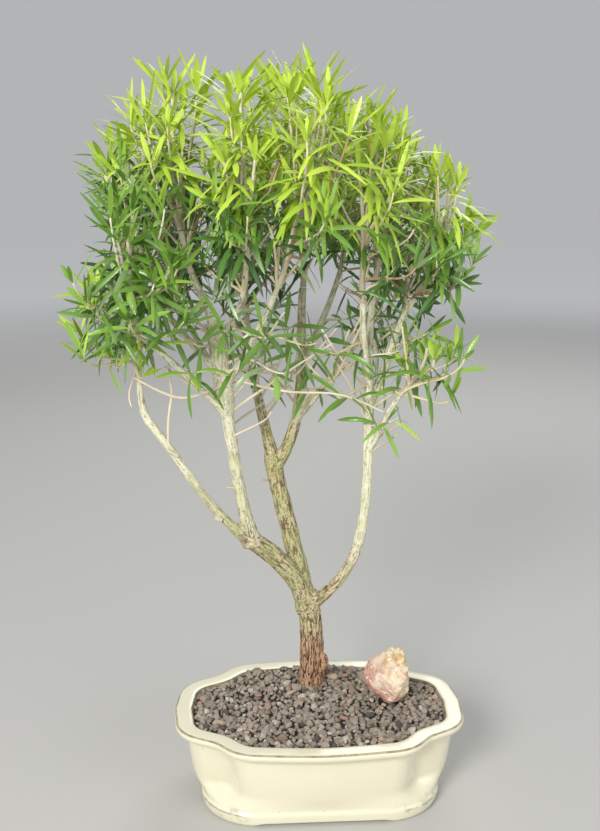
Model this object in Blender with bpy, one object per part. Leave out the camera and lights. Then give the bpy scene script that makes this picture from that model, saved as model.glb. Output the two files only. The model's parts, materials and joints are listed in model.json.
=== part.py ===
"""Bottlebrush bonsai in its glazed pot: a young tree with three boughs and an open, leafy crown.

Every sub-part is one closed solid.  Sizes are written in millimetres and turned into metres by MM.
The plant is built about the middle of the pot, with its feet at height 0, and is then moved as a
whole so that the origin lies under the middle of its bounding box.
"""

import math
import random

import bmesh
import bpy
import numpy as np
from mathutils import Matrix, Vector, noise

MM = 0.001
GAP = 0.3                      # clearance between touching solids
WELD = 5e-7                    # metres

# ---------------------------------------------------------------- pot
POT_HALF_LENGTH = 125.0
POT_HALF_DEPTH = 87.5
POT_HEIGHT = 73.0
FRONT_LOBE_END = (70.2, 81.8)  # where the long side turns in
NOTCH = (88.2, 61.1)           # the hollow between two lobes
SIDE_LOBE_END = (120.5, 43.6)  # where the short side turns in
LOBE_ROUND = 37.0
NOTCH_ROUND = 20.0
SIDE_ROUND = 34.0
SIDE_BOW = 1.2                 # how far the sides swell past a straight line
RIM_WIDTH = 15.8
FLOOR_TOP = 9.0
FOOT_HEIGHT = 3.0
FOOT_GAP_HALF_LENGTH = 54.0
FOOT_GAP_HALF_DEPTH = 28.0
FOOT_LEDGE = 34.0              # inset of the hollow under the pot
BASE_HALF_LENGTH = 101.0       # the base is a rounded box, which fills the notches with bracket feet
BASE_HALF_DEPTH = 68.4
BASE_ROUND = 48.0
BASE_INSET = 18.0              # the profile's inset that means the base's own outline
BASE_TOP = 11.0                # up to here the wall follows the base's outline
LOBES_FROM = 34.0              # from here up it follows the lobed one

# the wall from the feet up, over the rim and down inside: (height, inset from the rim's outline)
POT_PROFILE = (
    (0.0, 19.6),
    (2.2, 18.0),
    (10.4, 17.0),
    (12.4, 18.6),
    (24.0, 15.4),
    (40.0, 12.2),
    (60.5, 9.8),
    (64.0, 8.2),
    (65.6, 3.2),
    (70.6, 0.0),
    (72.4, 1.2),
    (POT_HEIGHT, 3.6),
    (POT_HEIGHT - 0.4, 12.5),
    (POT_HEIGHT - 1.6, RIM_WIDTH),
    (62.0, 17.4),
    (15.0, 27.0),
    (FLOOR_TOP, 34.0),
)

# ---------------------------------------------------------------- gravel and rock
GRAVEL_EDGE = 70.6             # height of the gravel along the rim
SOIL_TOP = 76.4                # height of the gravel at the trunk's foot
TRUNK_FOOT = (-4.0, 36.0)
SEAT_RADIUS = 19.0             # flat patch that carries the trunk
MOUND_SPREAD = 42.0
GRAVEL_ROUGHNESS = 0.9
CHIP_SPACING = 20.0            # coarse chips that stand out of the gravel
CHIP_SIZE = (3.6, 5.6)
CHIP_HEIGHT = (1.7, 2.6)
CHIP_SEED = 4
ROCK_PLACE = (61.0, 6.0)
ROCK_HALF = (20.2, 18.0, 24.0)
ROCK_SINK = 4.0
# broken flats of the rock: which way each one looks and how far out it lies
ROCK_FLATS = (
    ((-0.72, -0.25, 0.64), 0.80),
    ((0.93, -0.18, 0.10), 0.86),
    ((0.42, -0.62, 0.66), 0.84),
    ((-0.35, -0.90, -0.10), 0.84),
    ((-0.92, -0.20, -0.30), 0.84),
    ((0.15, 0.95, 0.25), 0.82),
)

# ---------------------------------------------------------------- limbs
# One row a limb: parent, share of the parent's length it leaves at (1.0 carries on from its tip),
# reach of its tip (across, back, up), heading at each end, radius at each end, collar at its foot.
TRUNK_HEIGHT = 90.0
TRUNK_TIP = (-12.0, 33.0, 165.0)
TRUNK_RADII = (10.3, 9.8)
ROOT_FLARE = 1.6
LIMBS = {
    "left_low_bough": ("trunk", 1.0, (-62, 16, 222), None, (-0.74, -0.18, 0.6), (9.0, 7.4), 0.0),
    "middle_bough": ("trunk", 0.90, (-37, 47, 280), (-0.2, 0.05, 1), (-0.2, 0.14, 1), (8.0, 7.2), 1.5),
    "right_low_bough": ("trunk", 0.80, (35, 15, 214), (0.9, -0.2, 0.75), (0.2, -0.15, 1), (4.9, 4.6), 2.6),
    "left_outer_bough": ("left_low_bough", 1.0, (-137, -4, 325), None, (-0.75, -0.1, 1), (4.1, 3.4), 2.4),
    "left_upright_bough": ("left_low_bough", 0.90, (-83, -8, 401), (-0.25, 0, 1), (-0.12, -0.1, 1), (5.4, 4.7), 4.0),
    "left_knee_bough": ("left_outer_bough", 1.0, (-147, -8, 374), None, (-0.3, -0.1, 1), (3.2, 2.4), 0.4),
    "left_top_bough": ("left_upright_bough", 1.0, (-101, -13, 446), None, (-0.3, -0.1, 1), (4.0, 2.6), 0.0),
    "left_front_branch": ("left_upright_bough", 0.62, (-132, -30, 392), (-1, -0.3, 0.9), (-1, -0.4, 0.8), (2.5, 1.8), 1.0),
    "left_upper_branch": ("left_upright_bough", 0.80, (-130, 2, 420), (-1, -0.2, 0.9), (-1, 0.1, 0.9), (2.5, 1.8), 1.0),
    "left_back_branch": ("left_upright_bough", 0.70, (-112, 44, 408), (-0.5, 1, 1.2), (-0.6, 0.7, 1), (2.5, 1.8), 1.0),
    "centre_front_branch": ("left_upright_bough", 0.93, (-62, -38, 430), (0.4, -0.7, 1), (0.2, -0.4, 1), (2.6, 1.9), 1.0),
    "centre_top_branch": ("left_upright_bough", 0.74, (-38, -46, 432), (0.6, -0.7, 1), (0.4, -0.3, 1), (2.6, 1.9), 1.0),
    "middle_left_bough": ("middle_bough", 1.0, (-56, 76, 376), None, (-0.1, 0.2, 1), (5.2, 3.0), 1.8),
    "middle_right_bough": ("middle_bough", 0.95, (-10, 58, 428), (0.9, 0.1, 1.1), (0.1, 0.1, 1), (5.4, 3.3), 1.4),
    "back_right_branch": ("middle_right_bough", 0.58, (24, 92, 436), (0.5, 0.8, 1), (0.3, 0.3, 1), (2.7, 1.9), 1.0),
    "inner_right_branch": ("middle_right_bough", 0.30, (30, 34, 378), (1, -0.3, 1), (0.9, 0.0, 1), (2.0, 1.5), 0.8),
    "right_bough": ("right_low_bough", 1.0, (40, -2, 343), None, (0.0, -0.12, 1), (4.6, 4.0), 0.0),
    "right_top_bough": ("right_bough", 1.0, (43, 2, 428), None, (0.15, 0.1, 1), (3.8, 2.6), 0.0),
    "right_front_branch": ("right_top_bough", 0.22, (31, -24, 424), (-0.3, -0.2, 1), (-0.1, -0.3, 1), (2.8, 2.0), 1.0),
    "right_outer_branch": ("right_bough", 0.96, (78, 10, 424), (0.6, 0.2, 1), (0.7, 0.0, 1), (3.0, 2.0), 1.0),
    "right_back_branch": ("right_outer_branch", 0.45, (78, 56, 420), (0.3, 1, 1), (0.2, 0.7, 1), (2.3, 1.7), 0.8),
    "right_low_branch": ("right_bough", 0.66, (62, -26, 350), (0.7, -0.5, 1), (0.8, -0.3, 1), (2.3, 1.7), 0.8),
}

# ---------------------------------------------------------------- foliage
# One row a mass: the limb it grows from, middle and half-size of its space, upright shoots, leaves.
MASSES = {
    "foliage_left_low": ("left_knee_bough", (-161, -14, 410), (52, 52, 64), 4, 21),
    "foliage_left_front": ("left_front_branch", (-140, -66, 460), (62, 54, 72), 5, 21),
    "foliage_left_upper": ("left_upper_branch", (-149, 12, 500), (60, 52, 78), 4, 21),
    "foliage_left_top": ("left_top_bough", (-112, -20, 530), (52, 50, 86), 4, 21),
    "foliage_left_back": ("left_back_branch", (-118, 78, 458), (62, 58, 72), 5, 19),
    "foliage_centre_front": ("centre_front_branch", (-62, -60, 514), (50, 54, 98), 5, 21),
    "foliage_centre_top": ("centre_top_branch", (-8, -66, 521), (52, 58, 100), 5, 21),
    "foliage_middle_back": ("middle_left_bough", (-58, 96, 474), (56, 58, 100), 5, 19),
    "foliage_middle_top": ("middle_right_bough", (-26, 38, 524), (56, 54, 94), 5, 21),
    "foliage_back_right": ("back_right_branch", (34, 100, 496), (54, 56, 80), 5, 19),
    "foliage_inner_right": ("inner_right_branch", (52, 38, 408), (38, 36, 48), 2, 10),
    "foliage_right_top": ("right_top_bough", (64, 20, 502), (50, 48, 82), 4, 21),
    "foliage_right_front": ("right_front_branch", (38, -48, 500), (50, 52, 92), 4, 21),
    "foliage_right_outer": ("right_outer_branch", (99, -10, 470), (52, 58, 76), 4, 21),
    "foliage_right_back": ("right_back_branch", (86, 74, 462), (54, 54, 70), 4, 19),
    "foliage_right_low": ("right_low_branch", (82, -28, 372), (54, 50, 52), 4, 21),
}
LEAF_LENGTH = (44.0, 58.0)
LEAF_WIDTH = 12.0
LEAF_THICKNESS = 1.0
LEAF_ROOM = 36.0               # how far shoots end inside the space, for their leaves
LEAF_TURN = math.radians(137.5)
LEAF_SPREAD = (84.0, 34.0)     # angle from the shoot, at its foot and at its tip
TIP_SPREAD = (12.0, 12.0)
TIP_LENGTH = (40.0, 43.0)
TWIG_RADII = (2.5, 1.6)
LOW_SHOOTS = 2                 # shoots that fill the lower part of each mass
LOW_FORKS = (0.10, 0.16)       # where on the leading shoot they fork off
LOW_OUT = 0.62
LOW_RISE = -0.34
LOW_RADIUS = 1.9
LOW_ROOM = 1.2                 # clearance that a low shoot keeps
LOW_TURNS = 8                  # headings that it tries

# ---------------------------------------------------------------- colours
CREAM_GLAZE = (0.80, 0.76, 0.58, 1.0)
GRAVEL_GREY = (0.20, 0.17, 0.15, 1.0)
ROCK_PINK = (0.72, 0.50, 0.40, 1.0)
BARK_BROWN = (0.23, 0.14, 0.09, 1.0)
BARK_GREY = (0.42, 0.38, 0.27, 1.0)
BARK_PALE = (0.52, 0.48, 0.34, 1.0)
LEAF_OLD = (0.07, 0.17, 0.05, 1.0)
LEAF_NEW = (0.33, 0.56, 0.06, 1.0)


def start_clean():
    """Remove what the file opened with."""
    for thing in list(bpy.data.objects):
        bpy.data.objects.remove(thing, do_unlink=True)


def make_collection(name):
    """Add a collection to the scene."""
    made = bpy.data.collections.new(name)
    bpy.context.scene.collection.children.link(made)
    return made


def make_material(name, colour, roughness, coat=0.0):
    """One Principled material."""
    material = bpy.data.materials.new(name)
    material.use_nodes = True
    shader = material.node_tree.nodes["Principled BSDF"]
    shader.inputs["Base Color"].default_value = colour
    shader.inputs["Roughness"].default_value = roughness
    shader.inputs["Metallic"].default_value = 0.0
    shader.inputs["Coat Weight"].default_value = coat
    return material


def mesh_object(name, bm, collection, material=None):
    """Turn a bmesh in millimetres into an object in metres."""
    bmesh.ops.scale(bm, vec=(MM, MM, MM), verts=bm.verts)
    bmesh.ops.recalc_face_normals(bm, faces=bm.faces)
    mesh = bpy.data.meshes.new(name)
    bm.to_mesh(mesh)
    bm.free()
    made = bpy.data.objects.new(name, mesh)
    collection.objects.link(made)
    if material:
        mesh.materials.append(material)
    return made


def loft(rings, apex=None):
    """Skin a run of rings that have the same number of points; an apex closes the far end."""
    bm = bmesh.new()
    rows = [[bm.verts.new(point) for point in ring] for ring in rings]
    count = len(rows[0])
    for lower, upper in zip(rows, rows[1:]):
        for i in range(count):
            j = (i + 1) % count
            bm.faces.new((lower[i], lower[j], upper[j], upper[i]))
    bm.faces.new(list(reversed(rows[0])))
    if apex is None:
        bm.faces.new(rows[-1])
    else:
        tip = bm.verts.new(apex)
        for i in range(count):
            bm.faces.new((rows[-1][i], rows[-1][(i + 1) % count], tip))
    return bm


def largest_piece(bm):
    """Keep the largest body: faces that hang together over shared edges."""
    left = set(bm.faces)
    pieces = []
    while left:
        seed = left.pop()
        piece = {seed}
        edge = [seed]
        while edge:
            face = edge.pop()
            for link in face.edges:
                if len(link.link_faces) != 2:
                    continue
                for other in link.link_faces:
                    if other not in piece:
                        piece.add(other)
                        edge.append(other)
        left -= piece
        pieces.append(piece)
    pieces.sort(key=len, reverse=True)
    for piece in pieces[1:]:
        bmesh.ops.delete(bm, geom=list(piece), context="FACES")


def tidied(mesh):
    """Triangulate a Boolean's result and drop its scraps; tells whether it is one closed body."""
    bm = bmesh.new()
    bm.from_mesh(mesh)
    bmesh.ops.remove_doubles(bm, verts=bm.verts, dist=WELD)
    bmesh.ops.dissolve_degenerate(bm, dist=WELD, edges=bm.edges)
    bmesh.ops.triangulate(bm, faces=bm.faces)
    largest_piece(bm)
    closed = all(len(edge.link_faces) == 2 for edge in bm.edges)
    bm.to_mesh(mesh)
    bm.free()
    return closed


def boolean(thing, operand, operation):
    """Apply one Boolean with an object or a whole collection, then remove what it used."""
    modifier = thing.modifiers.new("fit", "BOOLEAN")
    modifier.operation = operation
    if isinstance(operand, bpy.types.Collection):
        modifier.operand_type = "COLLECTION"
        modifier.collection = operand
        used = list(operand.objects)
    else:
        modifier.object = operand
        used = [operand]
    for solver in ("EXACT", "MANIFOLD"):
        modifier.solver = solver
        bpy.context.view_layer.update()
        graph = bpy.context.evaluated_depsgraph_get()
        result = bpy.data.meshes.new_from_object(thing.evaluated_get(graph))
        if tidied(result):
            break
    thing.modifiers.clear()
    thing.data = result
    for tool in used:
        bpy.data.objects.remove(tool, do_unlink=True)


# ---------------------------------------------------------------- pot

def fillet(before, corner, after, radius, steps):
    """Points of the arc that rounds a corner."""
    before, corner, after = Vector(before), Vector(corner), Vector(after)
    into = (corner - before).normalized()
    out = (after - corner).normalized()
    turn = into.angle(out)
    reach = radius * math.tan(turn / 2)
    start = corner - into * reach
    side = Vector((-into.y, into.x))
    if side.dot(out) < 0:
        side = -side
    centre = start + side * radius
    points = []
    for i in range(steps + 1):
        angle = turn * i / steps
        points.append(centre - side * radius * math.cos(angle) + into * radius * math.sin(angle))
    return points


def rim_outline():
    """The rim's four-lobed outline, anticlockwise, from the middle of the right side."""
    side = (POT_HALF_LENGTH, 0.0)
    front = (0.0, POT_HALF_DEPTH)
    quarter = [Vector(side)]
    quarter += fillet(side, SIDE_LOBE_END, NOTCH, SIDE_ROUND, 3)
    quarter += fillet(SIDE_LOBE_END, NOTCH, FRONT_LOBE_END, NOTCH_ROUND, 2)
    quarter += fillet(NOTCH, FRONT_LOBE_END, front, LOBE_ROUND, 3)
    last = quarter[-1]
    middle = (last + Vector(front)) / 2
    quarter.append(middle + Vector((0.0, SIDE_BOW / 2)))
    quarter.append(Vector(front))
    left = [Vector((-p.x, p.y)) for p in reversed(quarter[:-1])]
    half = quarter + left
    return half + [Vector((p.x, -p.y)) for p in reversed(half[1:-1])]


def inset_outline(outline, inset):
    """The outline moved in along its own normals."""
    count = len(outline)
    moved = []
    for i, point in enumerate(outline):
        before = (point - outline[i - 1]).normalized()
        after = (outline[(i + 1) % count] - point).normalized()
        along = (before + after).normalized()
        moved.append(point + Vector((-along.y, along.x)) * inset)
    return moved


def base_outline(outline, outset):
    """The base's rounded box, with one point in the direction of each point of the rim's outline."""
    half = Vector((BASE_HALF_LENGTH + outset, BASE_HALF_DEPTH + outset))
    points = []
    for point in outline:
        near, far = 0.0, 1.5
        for _ in range(24):
            share = (near + far) / 2
            over_x = max(abs(point.x) * share - half.x + BASE_ROUND, 0.0)
            over_y = max(abs(point.y) * share - half.y + BASE_ROUND, 0.0)
            if math.hypot(over_x, over_y) < BASE_ROUND:
                near = share
            else:
                far = share
        points.append(point * near)
    return points


def wall_ring(outline, height, inset):
    """The wall's outline at one height: the base's below, the lobed one above, eased between them."""
    lobed = inset_outline(outline, inset)
    if height >= LOBES_FROM:
        return lobed
    ease = min(1.0, (LOBES_FROM - height) / (LOBES_FROM - BASE_TOP))
    ease = ease * ease * (3.0 - 2.0 * ease)
    base = base_outline(outline, BASE_INSET - inset)
    return [a.lerp(b, ease) for a, b in zip(lobed, base)]


def level_ring(points, height):
    """A flat ring of points at one height."""
    return [Vector((p.x, p.y, height)) for p in points]


def build_pot(outline, parts, cutters, material):
    """Thick-walled pot with a wide rolled rim, a raised skirt and four corner feet."""
    rings = []
    for number, (height, inset) in enumerate(POT_PROFILE):
        outside = number < len(POT_PROFILE) - 3
        ring = wall_ring(outline, height, inset) if outside else inset_outline(outline, inset)
        rings.append(level_ring(ring, height))
    pot = mesh_object("pot", loft(rings), parts, material)
    hollow = inset_outline(outline, FOOT_LEDGE)
    mesh_object("hollow", loft([level_ring(hollow, -2.0), level_ring(hollow, FOOT_HEIGHT)]), cutters)
    for half_x, half_y in ((FOOT_GAP_HALF_LENGTH, 140.0), (140.0, FOOT_GAP_HALF_DEPTH)):
        rings = []
        for height, slope in ((-2.0, 4.0), (FOOT_HEIGHT, 0.0)):
            corners = [(-1, -1), (1, -1), (1, 1), (-1, 1)]
            rings.append([Vector((sx * (half_x + slope), sy * (half_y + slope), height)) for sx, sy in corners])
        mesh_object("foot_gap", loft(rings), cutters)
    for cutter in cutters.objects:
        cutter.hide_render = True
        cutter.display_type = "WIRE"
    boolean(pot, cutters, "DIFFERENCE")
    return pot


# ---------------------------------------------------------------- gravel and rock

def gravel_height(x, y):
    """Height of the gravel: level with the rim, mounded and flat at the trunk's foot, pebbly."""
    away = math.hypot(x - TRUNK_FOOT[0], y - TRUNK_FOOT[1])
    if away < SEAT_RADIUS + 0.5:
        return SOIL_TOP
    swell = math.exp(-((away - SEAT_RADIUS) / MOUND_SPREAD) ** 2)
    pebbles = abs(noise.noise(Vector((x * 0.11, y * 0.11, 3.7)))) * GRAVEL_ROUGHNESS
    return GRAVEL_EDGE + (SOIL_TOP - GRAVEL_EDGE - GRAVEL_ROUGHNESS) * swell + pebbles


def build_gravel(outline, parts, material):
    """Plug of gravel that fills the pot, 0.3 mm clear of the wall."""
    foot = Vector(TRUNK_FOOT)
    rings = []
    inside = POT_PROFILE[-3:]
    rings.append(level_ring(inset_outline(outline, inside[-1][1] + GAP), FLOOR_TOP + GAP))
    for height, inset in reversed(inside[:-1]):
        rings.append(level_ring(inset_outline(outline, inset + GAP + 0.1), height))
    edge = inset_outline(outline, RIM_WIDTH + GAP + 0.9)
    rings.append(level_ring(edge, GRAVEL_EDGE - 1.4))
    for share in (0.95, 0.62):
        ring = []
        for point in edge:
            spot = foot + (point - foot) * share
            ring.append(Vector((spot.x, spot.y, gravel_height(spot.x, spot.y))))
        rings.append(ring)
    seat = [foot + (point - foot).normalized() * SEAT_RADIUS for point in edge]
    rings.append([Vector((spot.x, spot.y, SOIL_TOP)) for spot in seat])
    gravel = mesh_object("gravel", loft(rings), parts, material)
    chips = make_collection("chips")
    for spot in chip_places(outline):
        mesh_object("chip", chip_mesh(spot), chips)
    boolean(gravel, chips, "UNION")
    bpy.data.collections.remove(chips)
    return gravel


def chip_places(outline):
    """Middles of the coarse chips, in staggered rows, clear of the rim, the trunk and the rock."""
    rim = inset_outline(outline, RIM_WIDTH + 9.0)
    rng = random.Random(CHIP_SEED)
    places = []
    rows = int(POT_HALF_DEPTH * 2 / CHIP_SPACING)
    columns = int(POT_HALF_LENGTH * 2 / CHIP_SPACING)
    for row in range(rows + 1):
        for column in range(columns + 1):
            x = (column - columns / 2 + 0.5 * (row % 2)) * CHIP_SPACING + rng.uniform(-3.0, 3.0)
            y = (row - rows / 2) * CHIP_SPACING + rng.uniform(-3.0, 3.0)
            if math.hypot(x - TRUNK_FOOT[0], y - TRUNK_FOOT[1]) < SEAT_RADIUS + 4.0:
                continue
            if math.hypot(x - ROCK_PLACE[0], y - ROCK_PLACE[1]) < ROCK_HALF[0] + 7.0:
                continue
            if within(x, y, rim):
                places.append((x, y))
    return places


def within(x, y, ring):
    """Whether a spot lies inside a ring of points."""
    inside = False
    for a, b in zip(ring, ring[1:] + ring[:1]):
        if (a.y > y) != (b.y > y) and x < (b.x - a.x) * (y - a.y) / (b.y - a.y) + a.x:
            inside = not inside
    return inside


def chip_mesh(spot):
    """A flat four-sided chip that leans a little and is sunk in the gravel."""
    rng = random.Random(round(spot[0] * 10) * 1000 + round(spot[1] * 10))
    size = rng.uniform(*CHIP_SIZE)
    height = rng.uniform(*CHIP_HEIGHT)
    bm = bmesh.new()
    bmesh.ops.create_cone(bm, cap_ends=True, segments=4, radius1=size, radius2=size * 0.62, depth=height * 2)
    turn = Matrix.Rotation(rng.uniform(0.0, 6.28), 4, "Z")
    lean = Matrix.Rotation(rng.uniform(-0.2, 0.2), 4, "X")
    place = Matrix.Translation((spot[0], spot[1], gravel_height(*spot)))
    bmesh.ops.transform(bm, matrix=place @ lean @ turn, verts=bm.verts)
    return bm


def build_rock(parts, cutters, gravel, material):
    """Lumpy upright stone that stands a little sunk in the gravel."""
    bm = bmesh.new()
    bmesh.ops.create_icosphere(bm, subdivisions=3, radius=1.0)
    base = gravel_height(*ROCK_PLACE)
    for vert in bm.verts:
        way = vert.co.normalized()
        lump = 1.0 + 0.30 * noise.noise(way * 1.3 + Vector((4.0, 1.0, 2.0)))
        lump += 0.10 * noise.noise(way * 4.1 + Vector((1.0, 7.0, 3.0)))
        spot = way * lump
        for facing, reach in ROCK_FLATS:
            over = spot.dot(Vector(facing).normalized()) - reach
            spot -= Vector(facing).normalized() * max(over, 0.0) * 0.85
        vert.co = Vector((spot.x * ROCK_HALF[0], spot.y * ROCK_HALF[1], spot.z * ROCK_HALF[2]))
    low = min(vert.co.z for vert in bm.verts)
    for vert in bm.verts:
        vert.co += Vector((ROCK_PLACE[0], ROCK_PLACE[1], base - low - ROCK_SINK))
    rock = mesh_object("rock", bm, parts, material)
    bed = gravel.copy()
    bed.data = gravel.data.copy()
    bed.data.transform(Matrix.Translation((0.0, 0.0, GAP * MM)))
    bed.hide_render = True
    bed.display_type = "WIRE"
    cutters.objects.link(bed)
    boolean(rock, bed, "DIFFERENCE")
    return rock


# ---------------------------------------------------------------- limbs

class Limb:
    """A tapering limb along one smooth curve."""

    def __init__(self, start, sets_off, tip, arrives, radii, collar, flare=0.0):
        self.start = Vector(start)
        self.tip = Vector(tip)
        chord = (self.tip - self.start).length
        self.sets_off = Vector(sets_off).normalized() * chord
        self.arrives = Vector(arrives).normalized() * chord
        self.radii = radii
        self.collar = collar
        self.flare = flare
        self.length = chord

    def point(self, t):
        """Place on the axis at share t of the limb."""
        a = 2 * t ** 3 - 3 * t ** 2 + 1
        b = t ** 3 - 2 * t ** 2 + t
        c = -2 * t ** 3 + 3 * t ** 2
        d = t ** 3 - t ** 2
        return self.start * a + self.sets_off * b + self.tip * c + self.arrives * d

    def heading(self, t):
        """Direction of the axis at share t of the limb."""
        if t <= 0.001:
            return self.sets_off.normalized()
        if t >= 0.999:
            return self.arrives.normalized()
        return (self.point(t + 0.001) - self.point(t - 0.001)).normalized()

    def radius(self, t):
        """Radius at share t: an even taper, a collar at the foot and the trunk's root flare."""
        even = self.radii[0] + (self.radii[1] - self.radii[0]) * t
        swell = self.collar * math.exp(-t * self.length / 11.0)
        spread = self.flare * math.exp(-t * self.length / 9.0)
        return even + swell + spread

    def ring(self, t, sides, extra=0.0, shift=0.0):
        """A ring of points round the axis, a little out of round."""
        along = self.heading(t)
        across = along.orthogonal() if abs(along.z) < 0.2 else along.cross(Vector((0.0, 1.0, 0.0)))
        across.normalize()
        other = along.cross(across)
        centre = self.point(t) + along * shift
        size = self.radius(t)
        points = []
        for i in range(sides):
            angle = 2 * math.pi * i / sides
            way = across * math.cos(angle) + other * math.sin(angle)
            wave = 1.0 + 0.05 * noise.noise(centre * 0.06 + way * 1.4)
            points.append(centre + way * (size * wave + extra))
        return points

    def mesh(self, extra=0.0, over=0.0):
        """The limb's skin, or a fatter and longer one to cut its neighbours with."""
        biggest = max(self.radii)
        sides = 12 if biggest > 9.7 else 9 if biggest > 6.0 else 7 if biggest > 3.5 else 5
        steps = max(3, round(self.length / (12.0 + biggest * 1.2)))
        stops = [i / steps for i in range(steps + 1)]
        if self.flare or self.collar:
            stops.insert(1, 0.35 * stops[1])
        rings = []
        for t in stops:
            shift = -over if t == 0.0 else over if t == 1.0 else 0.0
            rings.append(self.ring(t, sides, extra, shift))
        return loft(rings)

    def runs(self, steps):
        """The limb as straight runs: starts, ends and radii."""
        spots = np.array([self.point(i / steps) for i in range(steps + 1)])
        sizes = np.array([self.radius(i / steps) for i in range(steps)])
        return spots[:-1], spots[1:], sizes

    def clearance(self, start, end, steps=14):
        """Shortest distance from the limb's skin to a straight run."""
        starts, ends, sizes = self.runs(steps)
        return float((run_distance(start, end, starts, ends) - sizes).min())


def run_distance(start, end, starts, ends):
    """Shortest distances from one straight run to each of many."""
    p = np.array(start)
    d1 = np.array(end) - p
    d2 = ends - starts
    between = p - starts
    a = d1 @ d1
    e = np.maximum((d2 * d2).sum(axis=1), 1e-9)
    f = (d2 * between).sum(axis=1)
    c = between @ d1
    b = d2 @ d1
    low = a * e - b * b
    t = np.where(low > 1e-9, np.clip((b * f - c * e) / np.maximum(low, 1e-9), 0.0, 1.0), 0.0)
    u = np.clip((b * t + f) / e, 0.0, 1.0)
    t = np.clip((b * u - c) / a, 0.0, 1.0)
    return np.linalg.norm(between + t[:, None] * d1 - u[:, None] * d2, axis=1)


def plan_limbs():
    """Work out every limb's curve from its row of sizes."""
    foot = (TRUNK_FOOT[0], TRUNK_FOOT[1], SOIL_TOP + GAP)
    limbs = {"trunk": Limb(foot, (0.0, 0.0, 1.0), TRUNK_TIP, (-0.4, -0.1, 0.9), TRUNK_RADII, 0.0, ROOT_FLARE)}
    for name, (parent, share, tip, sets_off, arrives, radii, collar) in LIMBS.items():
        stock = limbs[parent]
        start = stock.point(share)
        if share == 1.0:
            sets_off = stock.heading(1.0)
            start = start + sets_off * GAP
        limbs[name] = Limb(start, sets_off, tip, arrives, radii, collar)
    return limbs


def build_limbs(limbs, parts, cutters, materials):
    """Make each limb and cut the foot of each one clear of the limbs made before it."""
    made = []
    for name, limb in limbs.items():
        thing = mesh_object(name, limb.mesh(), parts, materials[name])
        foot_end = limb.point(0.3)
        for other_name in made:
            other = limbs[other_name]
            if other.clearance(limb.point(0.0), foot_end) > limb.radius(0.0) + 4.0:
                continue
            cutter = mesh_object("cutter", other.mesh(extra=GAP * 1.15, over=GAP * 0.95), cutters)
            cutter.hide_render = True
            cutter.display_type = "WIRE"
            boolean(thing, cutter, "DIFFERENCE")
        made.append(name)


# ---------------------------------------------------------------- foliage

class Shoot:
    """A twig: a short curve with a radius that tapers."""

    def __init__(self, start, sets_off, tip, arrives, radii):
        self.curve = Limb(start, sets_off, tip, arrives, radii, 0.0)

    def mesh(self):
        """Three-sided skin of the twig."""
        steps = max(2, round(self.curve.length / 32.0))
        rings = [self.curve.ring(i / steps, 3) for i in range(steps + 1)]
        return loft(rings)


def leaf_mesh(root, tip, side, width):
    """A slim lance-shaped leaf with a keel, widest before its middle and arched a little."""
    along = (tip - root).normalized()
    face = along.cross(side).normalized()
    length = (tip - root).length
    arch = face * length * 0.05
    stalk = [root + side * 0.5, root - face * 0.6, root - side * 0.5]
    waist = root + along * length * 0.45 + arch
    blade = [waist + side * width / 2, waist - face * LEAF_THICKNESS, waist - side * width / 2]
    return loft([stalk, blade], apex=tip)


class Clutter:
    """Everything that a new leaf must keep clear of, as straight runs with a radius and an owner."""

    def __init__(self, limbs):
        self.starts = np.zeros((0, 3))
        self.ends = np.zeros((0, 3))
        self.sizes = np.zeros(0)
        self.owners = []
        for limb in limbs.values():
            self.add_curve(limb, None, 14)

    def add(self, starts, ends, sizes, owner):
        """Take in some runs."""
        self.starts = np.vstack([self.starts, starts])
        self.ends = np.vstack([self.ends, ends])
        self.sizes = np.concatenate([self.sizes, sizes])
        self.owners += [owner] * len(sizes)

    def add_curve(self, curve, owner, steps):
        """Take in a limb or a shoot."""
        starts, ends, sizes = curve.runs(steps)
        self.add(starts, ends, sizes, owner)

    def room(self, start, end):
        """Free distance from a run to each thing."""
        return run_distance(start, end, self.starts, self.ends) - self.sizes


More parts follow.
